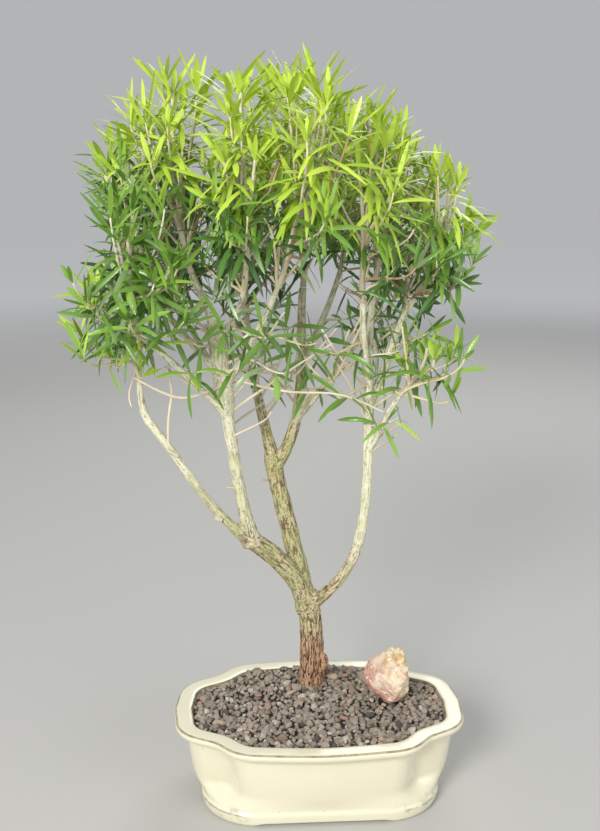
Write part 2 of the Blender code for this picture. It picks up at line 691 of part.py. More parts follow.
class Mass:
    """One mass of foliage: its space, its shoots and its leaves."""

    def __init__(self, name, limb, centre, half, shoot_count, leaf_count, seed):
        self.name = name
        self.limb = limb
        self.centre = Vector(centre)
        self.half = Vector(half)
        self.leaf_count = leaf_count
        self.leaf_scale = min(1.0, min(half) / 46.0)
        self.rng = random.Random(seed)
        self.shoots = self.grow_shoots(shoot_count)
        self.leaves = []
        self.tries = 0

    def depth(self, spot):
        """How far out a spot lies in this mass's space: 0 in the middle, 1 on its surface."""
        off = spot - self.centre
        return Vector((off.x / self.half.x, off.y / self.half.y, off.z / self.half.z)).length

    def grow_shoots(self, count):
        """A leading shoot from the limb's tip and side shoots that fork off it."""
        along = self.limb.heading(1.0)
        root = self.limb.tip + along * GAP
        room = self.half - Vector((LEAF_ROOM, LEAF_ROOM, LEAF_ROOM)) * self.leaf_scale
        peak = self.centre + Vector((0.0, 0.0, room.z))
        radii = (min(TWIG_RADII[0], self.limb.radii[1]), TWIG_RADII[1])
        leader = Shoot(root, along, peak, (0.0, 0.0, 1.0), radii)
        shoots = [leader]
        turn = self.rng.uniform(0.0, 6.28)
        for i in range(1, count):
            angle = turn + 2 * math.pi * i / (count - 1) + self.rng.uniform(-0.3, 0.3)
            out = Vector((math.cos(angle) * room.x, math.sin(angle) * room.y, 0.0)) * 1.1
            rise = room.z * self.rng.uniform(-0.1, 0.75)
            top = self.centre + out + Vector((0.0, 0.0, rise))
            fork = leader.curve.point(0.08 + 0.36 * i / count)
            off = (top - fork).normalized() + leader.curve.heading(0.3) * 0.5
            shoots.append(Shoot(fork, off, top, (out.x * 0.01, out.y * 0.01, 1.0), (2.1, TWIG_RADII[1])))
        return shoots

    def grow_low(self, clutter):
        """Low shoots, each turned until it stands clear of everything that isn't its own mass."""
        leader = self.shoots[0].curve
        for number, share in enumerate(LOW_FORKS[:LOW_SHOOTS]):
            fork = leader.point(share)
            for turn in range(LOW_TURNS):
                angle = 2 * math.pi * number / LOW_SHOOTS + LEAF_TURN * turn + self.limb.length
                out = Vector((math.cos(angle) * self.half.x, math.sin(angle) * self.half.y, 0.0)) * LOW_OUT
                top = self.centre + out + Vector((0.0, 0.0, self.half.z * LOW_RISE))
                off = (top - fork).normalized() + leader.heading(0.0) * 0.3
                shoot = Shoot(fork, off, top, (out.x * 0.02, out.y * 0.02, 1.0), (LOW_RADIUS, TWIG_RADII[1]))
                if self.stands_clear(shoot, clutter):
                    self.shoots.append(shoot)
                    clutter.add_curve(shoot.curve, shoot, 6)
                    break

    def stands_clear(self, shoot, clutter):
        """Whether a shoot keeps its room from everything but its own mass."""
        foreign = np.array([owner is None or owner not in self.shoots for owner in clutter.owners])
        starts, ends, sizes = shoot.curve.runs(6)
        for start, end, size in zip(starts, ends, sizes):
            if (clutter.room(start, end)[foreign] - size).min() < LOW_ROOM:
                return False
        return True

    def try_leaf(self, shoot, t, turn, masses, clutter, spread=LEAF_SPREAD, reach=LEAF_LENGTH):
        """Set one leaf, unless it would leave the space or touch anything."""
        along = shoot.curve.heading(t)
        root = shoot.curve.point(t)
        across = along.orthogonal().normalized()
        out = across * math.cos(turn) + along.cross(across) * math.sin(turn)
        angle = math.radians(spread[0] + (spread[1] - spread[0]) * t ** 2)
        length = self.rng.uniform(*reach) * (1.0 - 0.18 * t ** 3) * self.leaf_scale
        way = out * math.sin(angle) + along * math.cos(angle)
        side = along.cross(out).normalized()
        tip = root + way * length
        if self.depth(tip) > 1.0:
            return
        if any(mass.depth(tip) < self.depth(tip) for mass in masses):
            return
        width = LEAF_WIDTH * self.rng.uniform(0.85, 1.1)
        start = root + way * 4.0
        room = clutter.room(start, tip)
        for free, owner in zip(room, clutter.owners):
            if owner is shoot:
                continue
            wanted = 0.45 * width if owner is self or owner in self.shoots else width / 2 + 0.8
            if free < wanted:
                return
        clutter.add(np.array([start]), np.array([tip]), np.array([0.3 * width]), self)
        self.leaves.append((root - way * 0.3, tip, side, width))

    def crown_tips(self, masses, clutter):
        """One leaf that carries each shoot's tip to the edge of the space."""
        for number, shoot in enumerate(self.shoots):
            self.try_leaf(shoot, 0.97, number * 2.4, masses, clutter, TIP_SPREAD, TIP_LENGTH)

    def dress(self, masses, clutter, share):
        """Set this mass's next round of leaves, spread evenly over its shoots."""
        wanted = round(self.leaf_count * share)
        stop = self.tries + 420
        while len(self.leaves) < wanted and self.tries < stop:
            shoot = self.shoots[self.tries % len(self.shoots)]
            t = min(0.16 + 0.84 * self.rng.random() ** 0.8, 0.985)
            turn = LEAF_TURN * self.tries + self.rng.uniform(-0.4, 0.4)
            self.try_leaf(shoot, t, turn, masses, clutter)
            self.tries += 1

    def build(self, parts, material):
        """Fuse the shoots and leaves into one solid."""
        scraps = make_collection(self.name + "_pieces")
        body = mesh_object(self.name, self.shoots[0].mesh(), parts, material)
        for shoot in self.shoots[1:]:
            mesh_object("twig", shoot.mesh(), scraps)
        for root, tip, side, width in self.leaves:
            mesh_object("leaf", leaf_mesh(root, tip, side, width), scraps)
        boolean(body, scraps, "UNION")
        bpy.data.collections.remove(scraps)
        return body


def build_foliage(limbs, parts, material_old, material_new):
    """Every mass of foliage, dressed in turns so that none crowds out its neighbour."""
    masses = []
    for seed, (name, (limb, centre, half, shoots, leaves)) in enumerate(MASSES.items()):
        masses.append(Mass(name, limbs[limb], centre, half, shoots, leaves, seed + 11))
    clutter = Clutter(limbs)
    for mass in masses:
        for shoot in mass.shoots:
            clutter.add_curve(shoot.curve, shoot, 6)
    for mass in masses:
        mass.grow_low(clutter)
    for mass in masses:
        mass.crown_tips(masses, clutter)
    for share in (0.3, 0.6, 0.85, 1.0):
        for mass in masses:
            mass.dress(masses, clutter, share)
    for mass in masses:
        fresh = mass.centre.z > 505.0
        mass.build(parts, material_new if fresh else material_old)
    return masses


def stand_over_origin(parts):
    """Move the whole plant so that the origin lies under the middle of its bounding box."""
    bpy.context.view_layer.update()
    corners = [thing.matrix_world @ vert.co for thing in parts.objects for vert in thing.data.vertices]
    low = [min(spot[axis] for spot in corners) for axis in range(3)]
    high = [max(spot[axis] for spot in corners) for axis in range(3)]
    stand = bpy.data.objects.new("bonsai_frame", None)
    bpy.context.scene.collection.objects.link(stand)
    stand.location = (-(low[0] + high[0]) / 2, -(low[1] + high[1]) / 2, -low[2])
    for thing in parts.objects:
        thing.parent = stand
    bpy.context.view_layer.update()


def main():
    start_clean()
    parts = make_collection("bottlebrush_bonsai")
    cutters = make_collection("cutters")
    glaze = make_material("cream_glaze", CREAM_GLAZE, 0.22, 0.6)
    pebbles = make_material("grey_gravel", GRAVEL_GREY, 0.92)
    stone = make_material("pink_rock", ROCK_PINK, 0.85)
    brown = make_material("brown_bark", BARK_BROWN, 0.92)
    grey = make_material("grey_bark", BARK_GREY, 0.88)
    pale = make_material("pale_bark", BARK_PALE, 0.86)
    old = make_material("old_leaves", LEAF_OLD, 0.55)
    new = make_material("new_leaves", LEAF_NEW, 0.5)
    outline = rim_outline()
    build_pot(outline, parts, cutters, glaze)
    gravel = build_gravel(outline, parts, pebbles)
    build_rock(parts, cutters, gravel, stone)
    limbs = plan_limbs()
    barks = {}
    for name, limb in limbs.items():
        barks[name] = brown if name == "trunk" else grey if limb.radii[0] > 6.0 else pale
    build_limbs(limbs, parts, cutters, barks)
    build_foliage(limbs, parts, old, new)
    stand_over_origin(parts)


main()
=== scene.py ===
"""Potted bottlebrush bonsai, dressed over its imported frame.

Lengths are millimetres about the middle of the pot's footprint, with the pot's feet at height 0.
Each mesh is moved to the frame's own place and metres at the very end, by Workshop.place.
"""

from __future__ import annotations

import json
import logging
import math
import random
from dataclasses import dataclass, field
from enum import Enum

import bmesh
import bpy
import numpy as np
from mathutils import Matrix, Vector, noise
from mathutils.kdtree import KDTree

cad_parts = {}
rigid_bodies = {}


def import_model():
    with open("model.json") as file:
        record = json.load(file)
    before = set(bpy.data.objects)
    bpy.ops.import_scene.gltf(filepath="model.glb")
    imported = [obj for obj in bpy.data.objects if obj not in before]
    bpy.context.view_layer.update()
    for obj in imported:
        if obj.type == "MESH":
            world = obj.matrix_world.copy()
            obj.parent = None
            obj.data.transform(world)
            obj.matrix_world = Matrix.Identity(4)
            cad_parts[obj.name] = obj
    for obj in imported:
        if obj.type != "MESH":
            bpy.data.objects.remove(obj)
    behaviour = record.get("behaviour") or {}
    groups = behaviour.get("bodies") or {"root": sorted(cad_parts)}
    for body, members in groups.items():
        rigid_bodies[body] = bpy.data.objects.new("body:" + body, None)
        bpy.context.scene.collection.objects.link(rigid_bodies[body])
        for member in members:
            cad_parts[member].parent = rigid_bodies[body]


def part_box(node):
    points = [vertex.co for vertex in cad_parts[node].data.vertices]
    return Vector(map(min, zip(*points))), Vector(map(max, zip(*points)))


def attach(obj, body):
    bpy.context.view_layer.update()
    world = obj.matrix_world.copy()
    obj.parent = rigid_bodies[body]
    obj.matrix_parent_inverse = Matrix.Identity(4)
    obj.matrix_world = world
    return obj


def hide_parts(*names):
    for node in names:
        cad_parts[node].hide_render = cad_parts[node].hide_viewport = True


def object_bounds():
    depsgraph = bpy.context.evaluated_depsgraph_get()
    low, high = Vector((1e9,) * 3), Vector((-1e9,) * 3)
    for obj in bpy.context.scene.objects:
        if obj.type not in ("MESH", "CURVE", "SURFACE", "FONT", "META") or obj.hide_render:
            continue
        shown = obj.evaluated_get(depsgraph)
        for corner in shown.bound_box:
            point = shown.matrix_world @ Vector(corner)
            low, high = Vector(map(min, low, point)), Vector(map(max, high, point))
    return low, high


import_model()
CAD_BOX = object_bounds()
LOG = logging.getLogger("bonsai")

Triple = tuple[float, float, float]
Colour = tuple[float, float, float]
MM = 0.001
GOLDEN = math.radians(137.5)
TURN = 2 * math.pi
UP = Vector((0.0, 0.0, 1.0))

# noise_vector shifts its noise by random amounts, which 0 would take from the clock
NOISE_SEED = 7


# ---------------------------------------------------------------- shader sums

class Socket:
    """A shader output that takes part in sums and products."""

    def __init__(self, paint: "Paint", socket: bpy.types.NodeSocket) -> None:
        """Wrap one output socket."""
        self.paint = paint
        self.socket = socket

    def _sum(self, operation: str, left: object, right: object) -> "Socket":
        """Add one Math node.

        Args:
            operation: the Math node's operation.
            left: a Socket or a number.
            right: a Socket or a number.

        Returns:
            The node's result.
        """
        return self.paint.make("ShaderNodeMath", {"operation": operation}, {0: left, 1: right})

    def __add__(self, other: object) -> "Socket":
        """self + other."""
        return self._sum("ADD", self, other)

    def __radd__(self, other: object) -> "Socket":
        """other + self."""
        return self._sum("ADD", other, self)

    def __sub__(self, other: object) -> "Socket":
        """self - other."""
        return self._sum("SUBTRACT", self, other)

    def __rsub__(self, other: object) -> "Socket":
        """other - self."""
        return self._sum("SUBTRACT", other, self)

    def __mul__(self, other: object) -> "Socket":
        """self * other."""
        return self._sum("MULTIPLY", self, other)

    def __rmul__(self, other: object) -> "Socket":
        """other * self."""
        return self._sum("MULTIPLY", other, self)


class Paint:
    """Builds one material's node tree."""

    def __init__(self, name: str) -> None:
        """Start a material that holds one Principled shader."""
        self.material = bpy.data.materials.new(name)
        self.material.use_nodes = True
        self.tree = self.material.node_tree
        self.shader = self.tree.nodes["Principled BSDF"]

    def node(self, kind: str, settings: dict, sockets: dict) -> bpy.types.Node:
        """Add any node: its settings first, then its sockets.

        Args:
            kind: the node's type name.
            settings: the node's properties by name.
            sockets: numbers, colours or Sockets by input name or number.

        Returns:
            The new node.
        """
        made = self.tree.nodes.new(kind)
        for name, value in settings.items():
            setattr(made, name, value)
        for name, value in sockets.items():
            self.feed(made.inputs[name], value)
        return made

    def make(self, kind: str, settings: dict, sockets: dict, output: int | str = 0) -> Socket:
        """Add any node and wrap one of its outputs."""
        return Socket(self, self.node(kind, settings, sockets).outputs[output])

    def feed(self, target: bpy.types.NodeSocket, value: object) -> None:
        """Link a Socket to an input, or set the input's own value."""
        if isinstance(value, Socket):
            self.tree.links.new(value.socket, target)
        elif isinstance(value, (int, float)):
            target.default_value = value
        elif target.type == "RGBA" and len(value) == 3:
            target.default_value = (*value, 1.0)
        else:
            target.default_value = value

    def place(self) -> Socket:
        """The spot on the object in metres."""
        return self.make("ShaderNodeTexCoord", {}, {}, "Object")

    def attribute(self, name: str) -> Socket:
        """A vector that the mesh carries at each of its corners."""
        return self.make("ShaderNodeAttribute", {"attribute_name": name}, {}, "Vector")

    def split(self, value: Socket) -> list[Socket]:
        """The three parts of a vector."""
        made = self.node("ShaderNodeSeparateXYZ", {}, {0: value})
        return [Socket(self, part) for part in made.outputs]

    def cloud(
        self, scale: float, detail: float = 3.0, where: Socket | None = None, rough: float = 0.5
    ) -> Socket:
        """Noise from 0 to 1."""
        sockets = {"Vector": where or self.place(), "Scale": scale, "Detail": detail, "Roughness": rough}
        return self.make("ShaderNodeTexNoise", {}, sockets)

    def window(self, value: Socket, low: float, high: float) -> Socket:
        """0 below low, 1 above high and smooth between them."""
        sockets = {"Value": value, "From Min": low, "From Max": high}
        return self.make("ShaderNodeMapRange", {"interpolation_type": "SMOOTHSTEP"}, sockets)

    def band(self, value: Socket, rises: tuple[float, float], falls: tuple[float, float]) -> Socket:
        """1 between a rise and a fall, and 0 on both sides of them."""
        return self.window(value, *rises) * (1.0 - self.window(value, *falls))

    def blend(self, share: Socket | float, first: object, second: object) -> Socket:
        """A colour between two colours."""
        made = self.node("ShaderNodeMix", {"data_type": "RGBA"}, {})
        self.feed(made.inputs[0], share)
        self.feed(made.inputs[6], first)
        self.feed(made.inputs[7], second)
        return Socket(self, made.outputs[2])

    def bump(self, relief: Socket, depth: float, strength: float = 1.0) -> None:
        """Raise the surface by a relief whose 0 to 1 means so many millimetres."""
        sockets = {"Height": relief, "Distance": depth * MM, "Strength": strength}
        self.set("Normal", self.make("ShaderNodeBump", {}, sockets))

    def set(self, name: str, value: object) -> None:
        """Set or link one input of the shader."""
        self.feed(self.shader.inputs[name], value)


# ---------------------------------------------------------------- finishes

BARK_RUN = "bark_run"
BARK_TINT = "bark_tint"


@dataclass(frozen=True)
class CreamGlaze:
    """Glossy ivory glaze with pin holes, a little worn and stained where the corners meet the foot, with
    painted shade in the crease above each corner foot.

    The corners lie so far to either side of the middle, and the worn stains and the painted crease shade at
    these heights, in metres.
    """

    middle: Triple
    body: Colour = (0.80, 0.765, 0.585)
    pooled: Colour = (0.735, 0.695, 0.50)
    pit: Colour = (0.16, 0.11, 0.06)
    # the worn corner feet's stain, and also the painted shade in the crease above each foot
    stain_and_crease_shade: Colour = (0.30, 0.29, 0.24)
    roughness: float = 0.17
    corners: tuple[float, float] = (0.056, 0.074)
    foot_rises: tuple[float, float] = (0.003, 0.006)
    foot_falls: tuple[float, float] = (0.0125, 0.017)
    crease_shade_rises: tuple[float, float] = (0.0088, 0.0095)
    crease_shade_falls: tuple[float, float] = (0.0101, 0.0109)

    def material(self) -> bpy.types.Material:
        """Build the finish."""
        paint = Paint("cream_glaze")
        slow = paint.window(paint.cloud(14.0, 2.0), 0.30, 0.75)
        fine = paint.cloud(130.0, 2.0)
        colour = paint.blend(slow * 0.35 + fine * 0.12, self.body, self.pooled)
        cells = {"Vector": paint.place(), "Scale": 135.0, "Randomness": 1.0}
        near = paint.make("ShaderNodeTexVoronoi", {}, cells, "Distance")
        rare = paint.window(paint.cloud(47.0, 1.0), 0.50, 0.56)
        pits = (1.0 - paint.window(near, 0.045, 0.085)) * rare
        colour = paint.blend(pits * 0.85, colour, self.pit)
        along, _, up = paint.split(paint.place())
        aside = paint.make("ShaderNodeMath", {"operation": "ABSOLUTE"}, {0: along - self.middle[0]})
        worn = paint.window(paint.cloud(95.0, 5.0, rough=0.72), 0.50, 0.62)
        foot = paint.band(up, self.foot_rises, self.foot_falls) * worn * 0.55
        broken = paint.window(paint.cloud(150.0, 3.0), 0.40, 0.55)
        # a painted shade line in the crease where the wall meets the raised skirt at the corners
        crease_shade = paint.band(up, self.crease_shade_rises, self.crease_shade_falls) * broken * 0.8
        # worn stain on the corner feet together with the painted crease shade
        grime_and_crease_shade = paint.window(aside, *self.corners) * (foot + crease_shade)
        paint.set("Base Color", paint.blend(grime_and_crease_shade, colour, self.stain_and_crease_shade))
        paint.set("Roughness", self.roughness + paint.cloud(60.0, 2.0) * 0.12 + pits * 0.4 + grime_and_crease_shade * 0.3)
        paint.set("Coat Weight", 0.45)
        paint.set("Coat Roughness", 0.12)
        paint.bump(paint.cloud(34.0, 2.0) * 0.8 - pits * 0.5 - grime_and_crease_shade * 0.4, 0.35, 0.5)
        return paint.material


@dataclass(frozen=True)
class ThinGlaze:
    """The brown line where the glaze runs thin over an edge."""

    name: str
    clay: Colour
    glaze: Colour = (0.62, 0.56, 0.38)
    share: float = 0.6

    def material(self) -> bpy.types.Material:
        """Build the finish."""
        paint = Paint(self.name)
        broken = paint.window(paint.cloud(120.0, 3.0), 0.35, 0.62)
        paint.set("Base Color", paint.blend(broken * self.share + 0.15, self.clay, self.glaze))
        paint.set("Roughness", 0.32)
        paint.set("Coat Weight", 0.35)
        return paint.material


@dataclass(frozen=True)
class Plain:
    """One flat tone of a small, many-times-repeated thing."""

    name: str
    tone: Colour
    roughness: float = 0.9
    coat: float = 0.0
    specular: float = 0.5

    def material(self) -> bpy.types.Material:
        """Build the finish."""
        paint = Paint(self.name)
        paint.set("Base Color", self.tone)
        paint.set("Roughness", self.roughness)
        paint.set("Coat Weight", self.coat)
        paint.set("Specular IOR Level", self.specular)
        return paint.material


@dataclass(frozen=True)
class RockFinish:
    """Cream stone with a greenish heart, an ochre top and slanting pink and rust streaks at its foot."""

    middle: Triple
    slant: tuple[float, float] = (0.76, 0.65)
    drawn_out: float = 0.22
    cream: Colour = (0.80, 0.66, 0.49)
    heart: Colour = (0.76, 0.72, 0.44)
    ochre: Colour = (0.58, 0.31, 0.13)
    pink: Colour = (0.60, 0.31, 0.26)
    rust: Colour = (0.30, 0.10, 0.07)
    pale: Colour = (0.90, 0.87, 0.82)
    grey: Colour = (0.38, 0.36, 0.34)

    def material(self) -> bpy.types.Material:
        """Build the finish."""
        paint = Paint("pink_rock")
        x, y, z = paint.split(paint.place())
        level, steep = self.slant
        along = (x * level - z * steep) * self.drawn_out
        grain = paint.make("ShaderNodeCombineXYZ", {}, {0: along, 1: y * 0.6, 2: x * steep + z * level})
        streaks = paint.cloud(260.0, 4.0, grain, 0.62)
        threads = paint.cloud(620.0, 3.0, grain, 0.6)
        broad = paint.cloud(46.0, 3.0)
        crumbs = paint.cloud(190.0, 4.0, rough=0.7)
        leftward = (self.middle[0] - x) * 45.0
        upward = (z - self.middle[2]) * 40.0
        foot = paint.window(leftward * 0.70 - upward * 0.45 + broad * 1.3, 0.40, 0.85)
        crown = paint.window(upward * 0.6 - leftward * 0.5 + broad, 0.50, 0.95)
        colour = paint.blend(paint.window(broad, 0.44, 0.60) * 0.8, self.cream, self.heart)
        colour = paint.blend(paint.window(crumbs, 0.47, 0.57) * crown * 0.85, colour, self.ochre)
        colour = paint.blend(paint.window(streaks, 0.36, 0.52) * foot * 0.9, colour, self.pink)
        colour = paint.blend(paint.window(threads, 0.54, 0.62) * foot * 0.75, colour, self.rust)
        colour = paint.blend(paint.window(threads, 0.66, 0.72) * 0.5, colour, self.grey)
        light = paint.window(paint.cloud(120.0, 5.0, rough=0.75), 0.55, 0.63)
        paint.set("Base Color", paint.blend(light * 0.55, colour, self.pale))
        paint.set("Roughness", 0.86)
        paint.bump(streaks * 0.7 + crumbs * 0.8 + threads * 0.25, 1.5, 0.9)
        return paint.material


@dataclass(frozen=True)
class BarkFinish:
    """Furrowed red-brown bark at the foot, then tan and mossy, then pale and smooth on younger wood.

    The mesh carries the place on the unrolled bark, and the wood's age, the bark's rise and its moss.
    """

    scar_spot: Triple
    foot_ridge: Colour = (0.47, 0.295, 0.175)
    foot_groove: Colour = (0.070, 0.030, 0.018)
    tan_ridge: Colour = (0.66, 0.57, 0.38)
    tan_groove: Colour = (0.15, 0.105, 0.055)
    moss: Colour = (0.40, 0.42, 0.18)
    pale: Colour = (0.80, 0.785, 0.61)
    shade: Colour = (0.50, 0.485, 0.33)
    lichen: Colour = (0.56, 0.58, 0.33)
    speck: Colour = (0.22, 0.17, 0.10)
    crack: Colour = (0.30, 0.26, 0.16)
    scar: Colour = (0.48, 0.24, 0.12)
    scar_edge: tuple[float, float] = (0.0042, 0.0062)

    def material(self) -> bpy.types.Material:
        """Build the finish."""
        paint = Paint("bark")
        run = paint.attribute(BARK_RUN)
        age, rise, green = paint.split(paint.attribute(BARK_TINT))
        fibres = paint.cloud(720.0, 4.0, run, 0.68)
        flecks = paint.cloud(1300.0, 2.0, run, 0.55)
        patches = paint.cloud(75.0, 4.0, rough=0.62)
        ridge = paint.window(rise * 0.62 + fibres * 0.8 + flecks * 0.3, 0.86, 1.10)
        older = paint.blend(ridge, self.foot_groove, self.foot_ridge)
        middle = paint.blend(ridge, self.tan_groove, self.tan_ridge)
        middle = paint.blend(paint.window(patches + green * 0.3, 0.52, 0.74) * 0.72, middle, self.moss)
        middle = paint.blend((1.0 - ridge) * 0.62, middle, self.tan_groove)
        scabs = (1.0 - paint.window(patches + fibres * 0.3, 0.46, 0.60)) * green
        middle = paint.blend(scabs * 0.85, middle, self.tan_groove)
        young = paint.blend(paint.window(fibres + rise * 0.25, 0.56, 0.76), self.shade, self.pale)
        cracks = 1.0 - paint.window(rise * 0.8 + fibres * 0.7, 0.70, 0.86)
        young = paint.blend(cracks * 0.55, young, self.crack)
        young = paint.blend(paint.window(patches + green * 0.3, 0.54, 0.72) * 0.40, young, self.lichen)
        young = paint.blend(paint.window(flecks, 0.64, 0.70) * 0.65, young, self.speck)
        aged = paint.blend(paint.window(age, 0.18, 0.44), young, middle)
        colour = paint.blend(paint.window(age, 0.66, 0.90), aged, older)
        ends = {0: paint.place(), 1: self.scar_spot}
        near = paint.make("ShaderNodeVectorMath", {"operation": "DISTANCE"}, ends, "Value")
        healed = 1.0 - paint.window(near + patches * 0.006, *self.scar_edge)
        paint.set("Base Color", paint.blend(healed * 0.75, colour, self.scar))
        paint.set("Roughness", 0.88)
        paint.set("Specular IOR Level", 0.3)
        paint.bump((fibres * 0.8 + flecks * 0.3) * (age * 1.4 + 0.25), 1.0, 0.8)
        return paint.material


class Leaf(Enum):
    """Tones of a leaf, brightest to darkest: they stand both for the leaf's age, newest to oldest, and for
    painted light on the crown's top and painted shade beneath it.
    """

    SPRING = (0.50, 0.665, 0.075)
    LIME = (0.37, 0.55, 0.050)
    FRESH = (0.215, 0.395, 0.050)
    MIDDLE = (0.130, 0.275, 0.036)
    GREY = (0.215, 0.320, 0.130)
    DEEP = (0.078, 0.180, 0.028)
    DARK = (0.042, 0.105, 0.017)


class Stem(Enum):
    """Tones of a twig, from new wood to old."""

    STRAW = (0.68, 0.62, 0.36)
    SAND = (0.74, 0.66, 0.50)
    RUSSET = (0.50, 0.31, 0.19)
    GREY = (0.56, 0.50, 0.37)


class Grit(Enum):
    """Tones of the grit on the pot."""

    TAUPE = (0.330, 0.278, 0.228)
    GREY = (0.250, 0.215, 0.175)
    PALE = (0.480, 0.430, 0.365)
    CHARCOAL = (0.085, 0.075, 0.065)
    BROWN = (0.270, 0.195, 0.140)
    TAN = (0.460, 0.350, 0.255)
    TERRACOTTA = (0.380, 0.225, 0.165)


# ---------------------------------------------------------------- shared making

class Workshop:
    """Turns millimetre geometry into pieces that ride on the frame."""

    def __init__(self) -> None:
        """Find where the pot stands in the frame."""
        low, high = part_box("pot")
        self.shift = Vector(((low.x + high.x) / 2, (low.y + high.y) / 2, low.z))

    def place(
        self, name: str, mesh: bpy.types.Mesh, materials: list, nodes: list[str], slot: str
    ) -> None:
        """Args:
            name: the piece's name.
            mesh: geometry in millimetres about the pot.
            materials: its materials, in slot order.
            nodes: the frame nodes that it stands for.
            slot: the record's material slot; not used.
        """
        mesh.transform(Matrix.Translation(self.shift) @ Matrix.Scale(MM, 4))
        for material in materials:
            mesh.materials.append(material)
        piece = linked(name, mesh)
        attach(piece, "root")
        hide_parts(*nodes)
        LOG.info("%s: %d faces", name, len(mesh.polygons))


def linked(name: str, data: bpy.types.ID) -> bpy.types.Object:
    """A new object in the scene."""
    thing = bpy.data.objects.new(name, data)
    bpy.context.scene.collection.objects.link(thing)
    return thing


def mesh_from(bm: bmesh.types.BMesh, name: str) -> bpy.types.Mesh:
    """Make a smooth mesh of a bmesh and free it."""
    mesh = bpy.data.meshes.new(name)
    bm.normal_update()
    bm.to_mesh(mesh)
    bm.free()
    mesh.polygons.foreach_set("use_smooth", [True] * len(mesh.polygons))
    return mesh


def loft(
    bm: bmesh.types.BMesh, rows: list[list[bmesh.types.BMVert]], tones: list[int] | None = None
) -> None:
    """Join rings of corners and close the lowest one.

    Args:
        bm: where the faces go.
        rows: the rings from foot to top, each with the same count.
        tones: the material of the faces over each ring but the last.
    """
    count = len(rows[0])
    for level, (lower, upper) in enumerate(zip(rows, rows[1:])):
        for i in range(count):
            j = (i + 1) % count
            face = bm.faces.new((lower[i], lower[j], upper[j], upper[i]))
            face.material_index = tones[level] if tones else 0
    bm.faces.new(list(reversed(rows[0])))


def eased(share: float) -> float:
    """A share held between 0 and 1 and made smooth at both ends."""
    share = min(1.0, max(0.0, share))
    return share * share * (3.0 - 2.0 * share)


def between(start: Vector, sets_off: Vector, end: Vector, arrives: Vector, t: float) -> Vector:
    """The place at share t of a smooth line with these ends and speeds."""
    a = 2 * t ** 3 - 3 * t ** 2 + 1
    b = t ** 3 - 2 * t ** 2 + t
    c = -2 * t ** 3 + 3 * t ** 2
    d = t ** 3 - t ** 2
    return start * a + sets_off * b + end * c + arrives * d


def level_across(along: Vector) -> Vector:
    """Across a limb, chosen so that it hardly turns from one end of the limb to the other."""
    across = along.orthogonal() if abs(along.z) < 0.2 else along.cross(Vector((0.0, 1.0, 0.0)))
    return across.normalized()


def round_ring(centre: Vector, along: Vector, size: float, sides: int) -> list[Triple]:
    """Corners evenly round a twig."""
    across = along.orthogonal().normalized()
    other = along.cross(across)
    angles = [TURN * k / sides for k in range(sides)]
    return [tuple(centre + (across * math.cos(a) + other * math.sin(a)) * size) for a in angles]


def number(tone: Enum) -> int:
    """A tone's place among its kind, which is its material's number."""
    return list(type(tone)).index(tone)


def paints(tones: type[Enum], prefix: str, *finish: float) -> list[bpy.types.Material]:
    """One plain material for each tone of a kind."""
    return [Plain(prefix + tone.name.lower(), tone.value, *finish).material() for tone in tones]


class Sheaf:
    """Gathers many small shapes in arrays and makes one mesh of them."""

    def __init__(self) -> None:
        """Start empty."""
        self.spots: list[np.ndarray] = []
        self.faces: list[np.ndarray] = []
        self.tones: list[np.ndarray] = []
        self.count = 0

    def add(self, spots: np.ndarray, faces: np.ndarray, tone: int) -> None:
        """Add one shape of three- or four-sided faces (-1 fills a missing corner)."""
        moved = np.where(faces >= 0, faces + self.count, -1)
        self.spots.append(spots)
        self.faces.append(moved)
        self.tones.append(np.full(len(faces), tone))
        self.count += len(spots)

    def add_tube(self, corners: list[Triple], sides: int, tone: int) -> None:
        """Add stacked rings of corners whose last corner is the tip that closes them."""
        rings = len(corners) // sides
        faces = []
        for i in range(rings - 1):
            for k in range(sides):
                j = (k + 1) % sides
                faces.append((i * sides + k, i * sides + j, (i + 1) * sides + j, (i + 1) * sides + k))
        last = (rings - 1) * sides
        faces += [(last + k, last + (k + 1) % sides, rings * sides, -1) for k in range(sides)]
        self.add(np.array(corners), np.array(faces), tone)

    def mesh(self, name: str, smooth: bool) -> bpy.types.Mesh:
        """One mesh of everything gathered."""
        spots = np.vstack(self.spots)
        faces = np.vstack(self.faces)
        tones = np.concatenate(self.tones)
        sizes = (faces >= 0).sum(axis=1)
        loops = faces[faces >= 0]
        starts = np.concatenate(([0], np.cumsum(sizes)[:-1]))
        mesh = bpy.data.meshes.new(name)
        mesh.vertices.add(len(spots))
        mesh.vertices.foreach_set("co", spots.astype(np.float32).ravel())
        mesh.loops.add(len(loops))
        mesh.loops.foreach_set("vertex_index", loops.astype(np.int32))
        mesh.polygons.add(len(faces))
        mesh.polygons.foreach_set("loop_start", starts.astype(np.int32))
        mesh.polygons.foreach_set("material_index", tones.astype(np.int32))
        mesh.polygons.foreach_set("use_smooth", np.full(len(faces), smooth))
        mesh.update(calc_edges=True)
        mesh.validate()
        return mesh


# ---------------------------------------------------------------- pot

